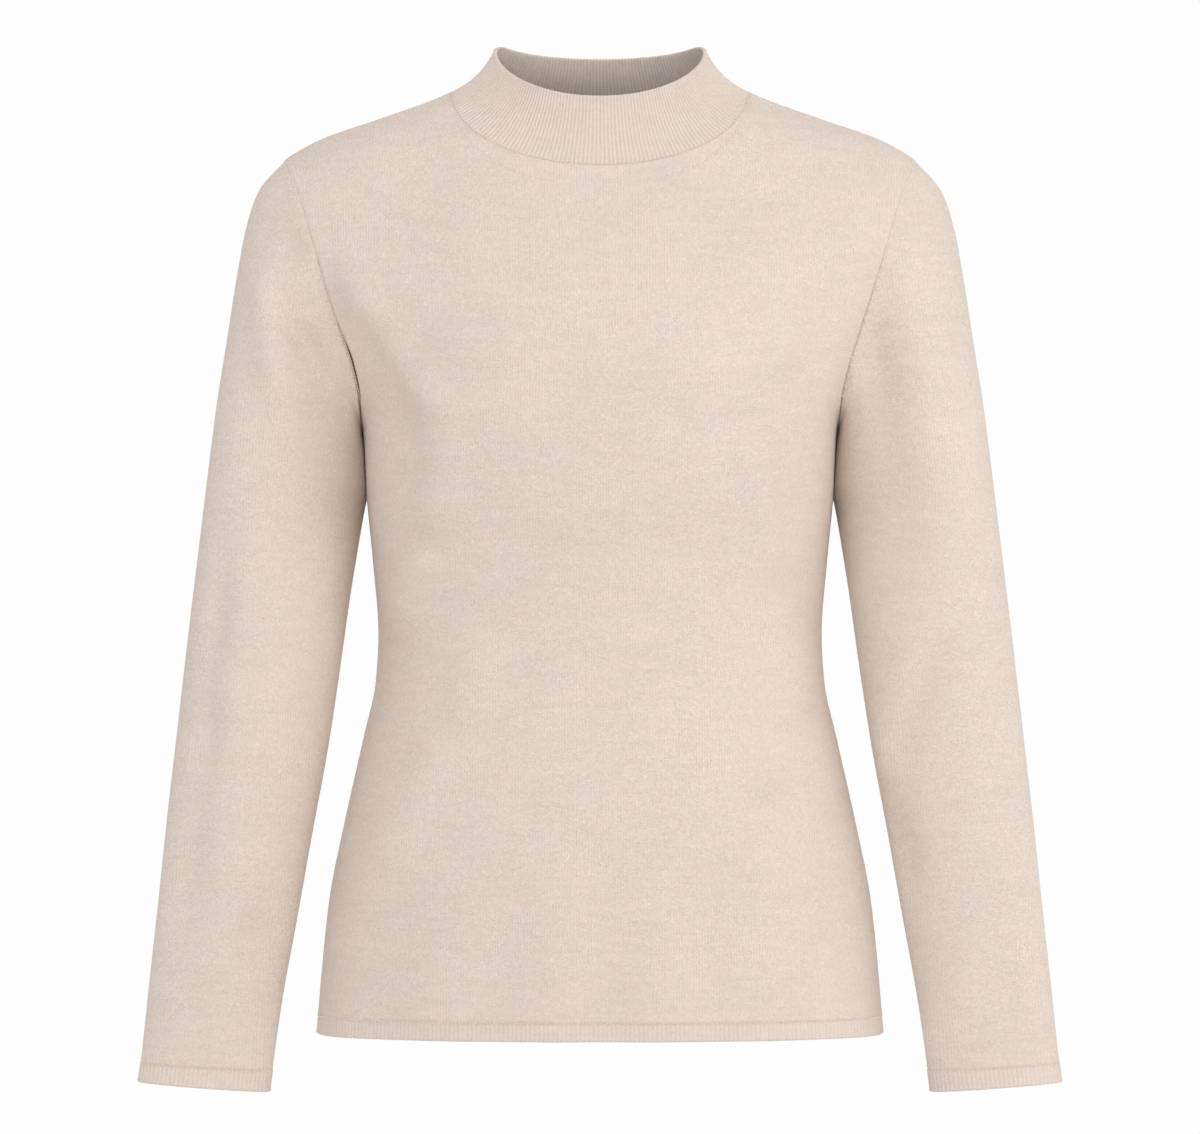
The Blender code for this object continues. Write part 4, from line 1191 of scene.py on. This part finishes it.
def melange(recipe, place, shade, painted_nap_shade=2.6):
    """Oatmeal yarn, spun of lighter and darker fibres that lie along the courses, with painted
    light and shade added over them.
    """
    streaks = recipe.noise(place, (34.0, 34.0, 270.0), 3.0, 0.6)
    clouds = recipe.noise(place, (20.0, 20.0, 34.0), 2.0, 0.5)
    # Painted shade: the nap's curls are painted darker in their hollows and lighter on their
    # tips, as strongly as the last argument says, and shade adds the light and shade painted on
    # the stitches or ribs
    share = 0.55 + 0.62 * streaks + 0.30 * clouds + painted_nap_shade * curls(recipe, place) + shade
    flecks = recipe.noise(place, (250.0, 250.0, 420.0), 2.0, 0.6, 0.8)
    patches = recipe.noise(place, (40.0, 40.0, 130.0), 2.0, 0.6)
    warmth = 0.5 + 1.1 * flecks + 0.35 * patches
    cool = recipe.mix(share, COOL_DARK, COOL_LIGHT)
    warm = recipe.mix(share, WARM_DARK, WARM_LIGHT)
    return recipe.mix(warmth, cool, warm)


def nap(recipe, place):
    """Height of the soft brushed fibres, in metres."""
    fine = recipe.noise(place, (1300.0, 1300.0, 1500.0), 2.0, 0.6)
    return NAP_HEIGHT * curls(recipe, place) + FINE_NAP_HEIGHT * fine


def jersey_material():
    """Plain knit: upright wales of small V stitches under a short nap, with painted light and
    shade on the stitches.
    """
    recipe = Recipe("oatmeal_jersey")
    place, across, along = recipe.pattern()
    loose = recipe.noise(place, (500.0, 500.0, 1.0), 1.0, 0.5)
    wale = across / WALE + 0.35 * loose
    leg = abs(wale.part() - 0.5)
    course = along / COURSE + leg + 0.4 * loose
    groove = 0.5 - 0.5 * wale.wave()
    # How strongly the stitches show, in patches: it scales their bump and their painted light and
    # shade alike
    stitch_strength = 0.5 + 1.6 * recipe.noise(place, (16.0, 14.0, 1.0), 1.0, 0.5)
    stitch = groove * (0.72 + 0.28 * course.wave()) * stitch_strength
    height = STITCH_HEIGHT * stitch + nap(recipe, recipe.place())
    # Painted light and shade: the colour is lighter where the stitches stand up and darker in the
    # hollows between them
    shade = 0.85 * stitch - 0.15
    colour = melange(recipe, recipe.place(), shade)
    return recipe.finish(colour, height, 0.86 + 0.1 * loose)


def yarn_material():
    """The yarn of the linking stitches, painted lighter than the jersey as a highlight along the
    seams.
    """
    recipe = Recipe("linking_yarn")
    place = recipe.place()
    uneven = recipe.noise(place, (300.0, 300.0, 300.0), 2.0, 0.6)
    fuzz = FUZZ_HEIGHT * recipe.noise(place, (3000.0, 3000.0, 3000.0), 2.0, 0.6)
    # Painted highlight: the stitches are coloured lighter than the cloth, so the raised seams
    # read as light lines
    colour = recipe.mix(0.75 + 0.8 * uneven, WARM_DARK, COOL_LIGHT)
    return recipe.finish(colour, fuzz, 0.9)


def ribbing_material(name, painted_rib_shading):
    """Rib knit: its ribs are modelled, and the stitches on them are in the bump.

    The second argument is how much lighter the ribs' crowns are painted than the valleys between
    them: painted light on the crowns and painted shade in the valleys, over the modelled ribs.
    """
    recipe = Recipe(name)
    place, across, along = recipe.pattern()
    loose = recipe.noise(place, (900.0, 900.0, 1.0), 1.0, 0.5)
    rib = across / RIB_PITCH + 0.15 * loose
    course = along / COURSE + abs(rib.part() - 0.5) * 1.2 + 0.3 * loose
    crown = 0.5 + 0.5 * rib.wave()
    height = RIB_STITCH_HEIGHT * crown * course.wave() + 0.6 * nap(recipe, recipe.place())
    # Painted light on the rib crowns, painted shade in the valleys between the ribs
    shade = painted_rib_shading * (crown - 0.53)
    colour = melange(recipe, recipe.place(), shade, 1.5)
    return recipe.finish(colour, height, 0.86 + 0.1 * loose)


# --------------------------------------------------------------------- the sweater

jersey = jersey_material()
# The second number is how strongly light and shade are painted on the ribs: fully at the neck,
# half on the hem and cuffs
neck_ribbing = ribbing_material("oatmeal_neck_ribbing", 1.0)
band_ribbing = ribbing_material("oatmeal_band_ribbing", 0.5)
yarn = yarn_material()


def add_sheet(sheet, pattern, outward):
    """A plain piece of jersey."""
    outer, inner = sheet.faces_of_wall(CLOTH)
    return add_wall(sheet.name, outer, inner, pattern, False, outward, jersey)


def dress(piece):
    """Hangs a piece on the root body and hides the solid it takes the place of."""
    node = piece.name.removeprefix("knitted_")
    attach(piece, "root")
    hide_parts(node)


def add_marks(name, sheet, row, columns, kind):
    """Fashioning marks: slanted stitches in a line beside a shaped edge."""
    down = unit(np.gradient(sheet.points, axis=0))
    line = [values[row, columns] for values in (sheet.points, sheet.normals, down)]
    add_stitches(name, line, kind)


def sleeve_pattern(arm, side):
    """A sleeve's wales and courses, by place about its middle line.

    Above the ring where the armhole's own shape has faded out that line runs on
    straight, so the wales stay upright in the cap.
    """
    tube = arm.points[np.searchsorted(SLEEVE_PLACES, CAP_RING):][::-1]
    middles = tube.mean(axis=1)
    girths = np.linalg.norm(np.diff(tube, axis=1), axis=-1).sum(axis=1)
    up = unit(middles[-1] - middles[0])
    out = unit(np.array((side, 0.0, 0.0)) - side * up[0] * up)
    ahead = side * np.cross(out, up)
    levels = (middles - middles[0]) @ up
    reach = arm.points - middles[0]
    along = reach @ up
    outwards, forwards = (
        reach @ way - np.interp(along, levels, (middles - middles[0]) @ way)
        for way in (out, ahead)
    )
    turn = np.arctan2(forwards, outwards)
    turn += 2 * math.pi * np.round((SLEEVE_TURNS - turn) / (2 * math.pi))
    across = turn * np.interp(along, levels, girths) / (2 * math.pi)
    return np.stack((across, along), -1)


# Turns of a sleeve's front, from beside its top to above its underarm, and its columns
MARKS_START, MARKS_END = 0.06 * math.pi, 0.80 * math.pi
FRONT_OF_SLEEVE = np.flatnonzero((SLEEVE_TURNS > MARKS_START) & (SLEEVE_TURNS < MARKS_END))

front, back = panel(front=True), panel(front=False)
join_sides(front, back)
for side, word in ((1, "left"), (-1, "right")):
    arm = sleeve(side)
    armhole_line = join_sleeve(front, back, arm, side)
    cuff = make_cuff(arm, side)
    first, last, top, bottom = arm.from_edges()
    arm.roll_in(np.minimum(np.minimum(first, last), top))
    arm.link(bottom)
    dress(add_sheet(arm, sleeve_pattern(arm, side), side))
    dress(cuff.add("cuff_" + word, band_ribbing))
    add_stitches("armhole_stitches_" + word, armhole_line, "armhole")
    add_marks("sleeve_marks_" + word, arm, SLEEVE_MARK_ROW, FRONT_OF_SLEEVE, "sleeve_mark")
    add_stitches("cuff_stitches_" + word, cuff.seam_line, "cuff")

collar = make_collar(front, back)
dress(collar.add("collar", neck_ribbing))
right_columns = FIRST_NECK_COLUMN + NECK_MARK_COLUMNS
left_columns = FIRST_NECK_COLUMN + LAST_NECK_COLUMN - right_columns[::-1]
for columns, word in ((right_columns, "right"), (left_columns, "left")):
    add_marks("neck_marks_" + word, front, NECK_MARK_ROW, columns, "neck_mark")
add_stitches("collar_stitches", collar.seam_line, "collar")
hem = make_hem(front, back)
add_stitches("hem_stitches", hem.seam_line, "hem")
for half, word in enumerate(("front", "back")):
    dress(hem.add("hem_" + word, band_ribbing, half))
for sheet in (front, back):
    first, last, bottom, top = sheet.from_edges()
    sheet.roll_in(np.minimum(first, last))
    sheet.link(np.minimum(top, bottom))
    sheet.raise_allowance(np.minimum(np.minimum(first, last), top))
    dress(add_sheet(sheet, panel_pattern(sheet), 1))


# ------------------------------------------------------------------ floor and light

FLOOR_HEIGHT = -0.76
FLOOR_SIZE = 60
FLOOR_COLOUR = (0.93, 0.93, 0.93, 1.0)
WHITE = (1.0, 1.0, 1.0, 1.0)
SWEATER_MIDDLE = Vector((0.0, 0.0, -0.320))
WORLD_LIGHT = 0.66
BACKDROP = 0.985            # how bright the floor and what is behind the sweater look
LAMP_DISTANCE = 4.0
LAMP_SIZE = 2.0
# Soft lamps, five in front and one behind: degrees round to +X from straight ahead,
# degrees up, and watts
LAMPS = table(
    "turn up power",
    (30, 40, 20),
    (50, 8, 23),
    (80, 8, 18),
    (-25, 8, 18),
    (-32, 56, 21),
    (180, 22, 50),
)


def set_inputs(node, values):
    """Sets sockets of a node by their names."""
    for name, value in values.items():
        node.inputs[name].default_value = value


def seen_by_camera(tree, plain, seen, output):
    """Gives the camera one shader and all other rays another."""
    ray = tree.nodes.new("ShaderNodeLightPath")
    chosen = tree.nodes.new("ShaderNodeMixShader")
    tree.links.new(ray.outputs["Is Camera Ray"], chosen.inputs[0])
    tree.links.new(plain, chosen.inputs[1])
    tree.links.new(seen, chosen.inputs[2])
    tree.links.new(chosen.outputs[0], output)


def plain_floor():
    """A pale floor that looks as bright as the backdrop."""
    for other in bpy.context.selected_objects:
        other.select_set(False)
    bpy.ops.mesh.primitive_plane_add(size=FLOOR_SIZE, location=(0, 0, FLOOR_HEIGHT))
    floor = bpy.context.active_object
    floor.name = "floor"
    paint = bpy.data.materials.new("pale_floor")
    paint.use_nodes = True
    tree = paint.node_tree
    surface = tree.nodes["Principled BSDF"]
    set_inputs(surface, {
        "Base Color": FLOOR_COLOUR, "Roughness": 0.9, "Specular IOR Level": 0.0,
    })
    glow = tree.nodes.new("ShaderNodeEmission")
    set_inputs(glow, {"Strength": BACKDROP})
    output = tree.nodes["Material Output"].inputs["Surface"]
    seen_by_camera(tree, surface.outputs[0], glow.outputs[0], output)
    floor.data.materials.append(paint)


def soft_world():
    """White all round: a bright backdrop, and a gentler light on the cloth."""
    world = bpy.data.worlds.new("white_studio")
    bpy.context.scene.world = world
    world.use_nodes = True
    tree = world.node_tree
    light = tree.nodes["Background"]
    set_inputs(light, {"Color": WHITE, "Strength": WORLD_LIGHT})
    backdrop = tree.nodes.new("ShaderNodeBackground")
    set_inputs(backdrop, {"Color": WHITE, "Strength": BACKDROP})
    output = tree.nodes["World Output"].inputs["Surface"]
    seen_by_camera(tree, light.outputs[0], backdrop.outputs[0], output)


def soft_light(name, round_to, up, power):
    """A large square light that faces the middle of the sweater."""
    lamp = bpy.data.lights.new(name, "AREA")
    lamp.shape = "SQUARE"
    lamp.size = LAMP_SIZE
    lamp.energy = power
    holder = add_object(name, lamp)
    turn, rise = math.radians(round_to), math.radians(up)
    away = Vector((math.sin(turn) * math.cos(rise), -math.cos(turn) * math.cos(rise),
                   math.sin(rise)))
    holder.location = SWEATER_MIDDLE + away * LAMP_DISTANCE
    holder.rotation_euler = (-away).to_track_quat("-Z", "Y").to_euler()


plain_floor()
soft_world()
for number, lamp in enumerate(zip(*LAMPS.values())):
    soft_light("lamp_%d" % number, *lamp)

CAMERA_DISTANCE = 5.0
CAMERA_HEIGHT = -0.306375
FRAME_WIDTH = 0.774         # what the camera sees across at the origin's depth
view = bpy.data.cameras.new("front_view")
view.sensor_width = 36
view.lens = view.sensor_width * CAMERA_DISTANCE / FRAME_WIDTH
camera = add_object("front_view", view)
camera.location = (0.0, -CAMERA_DISTANCE, CAMERA_HEIGHT)
camera.rotation_euler = (math.radians(90), 0, 0)
bpy.context.scene.camera = camera
bpy.context.scene.view_settings.view_transform = "Standard"
bpy.context.scene.view_settings.look = "None"
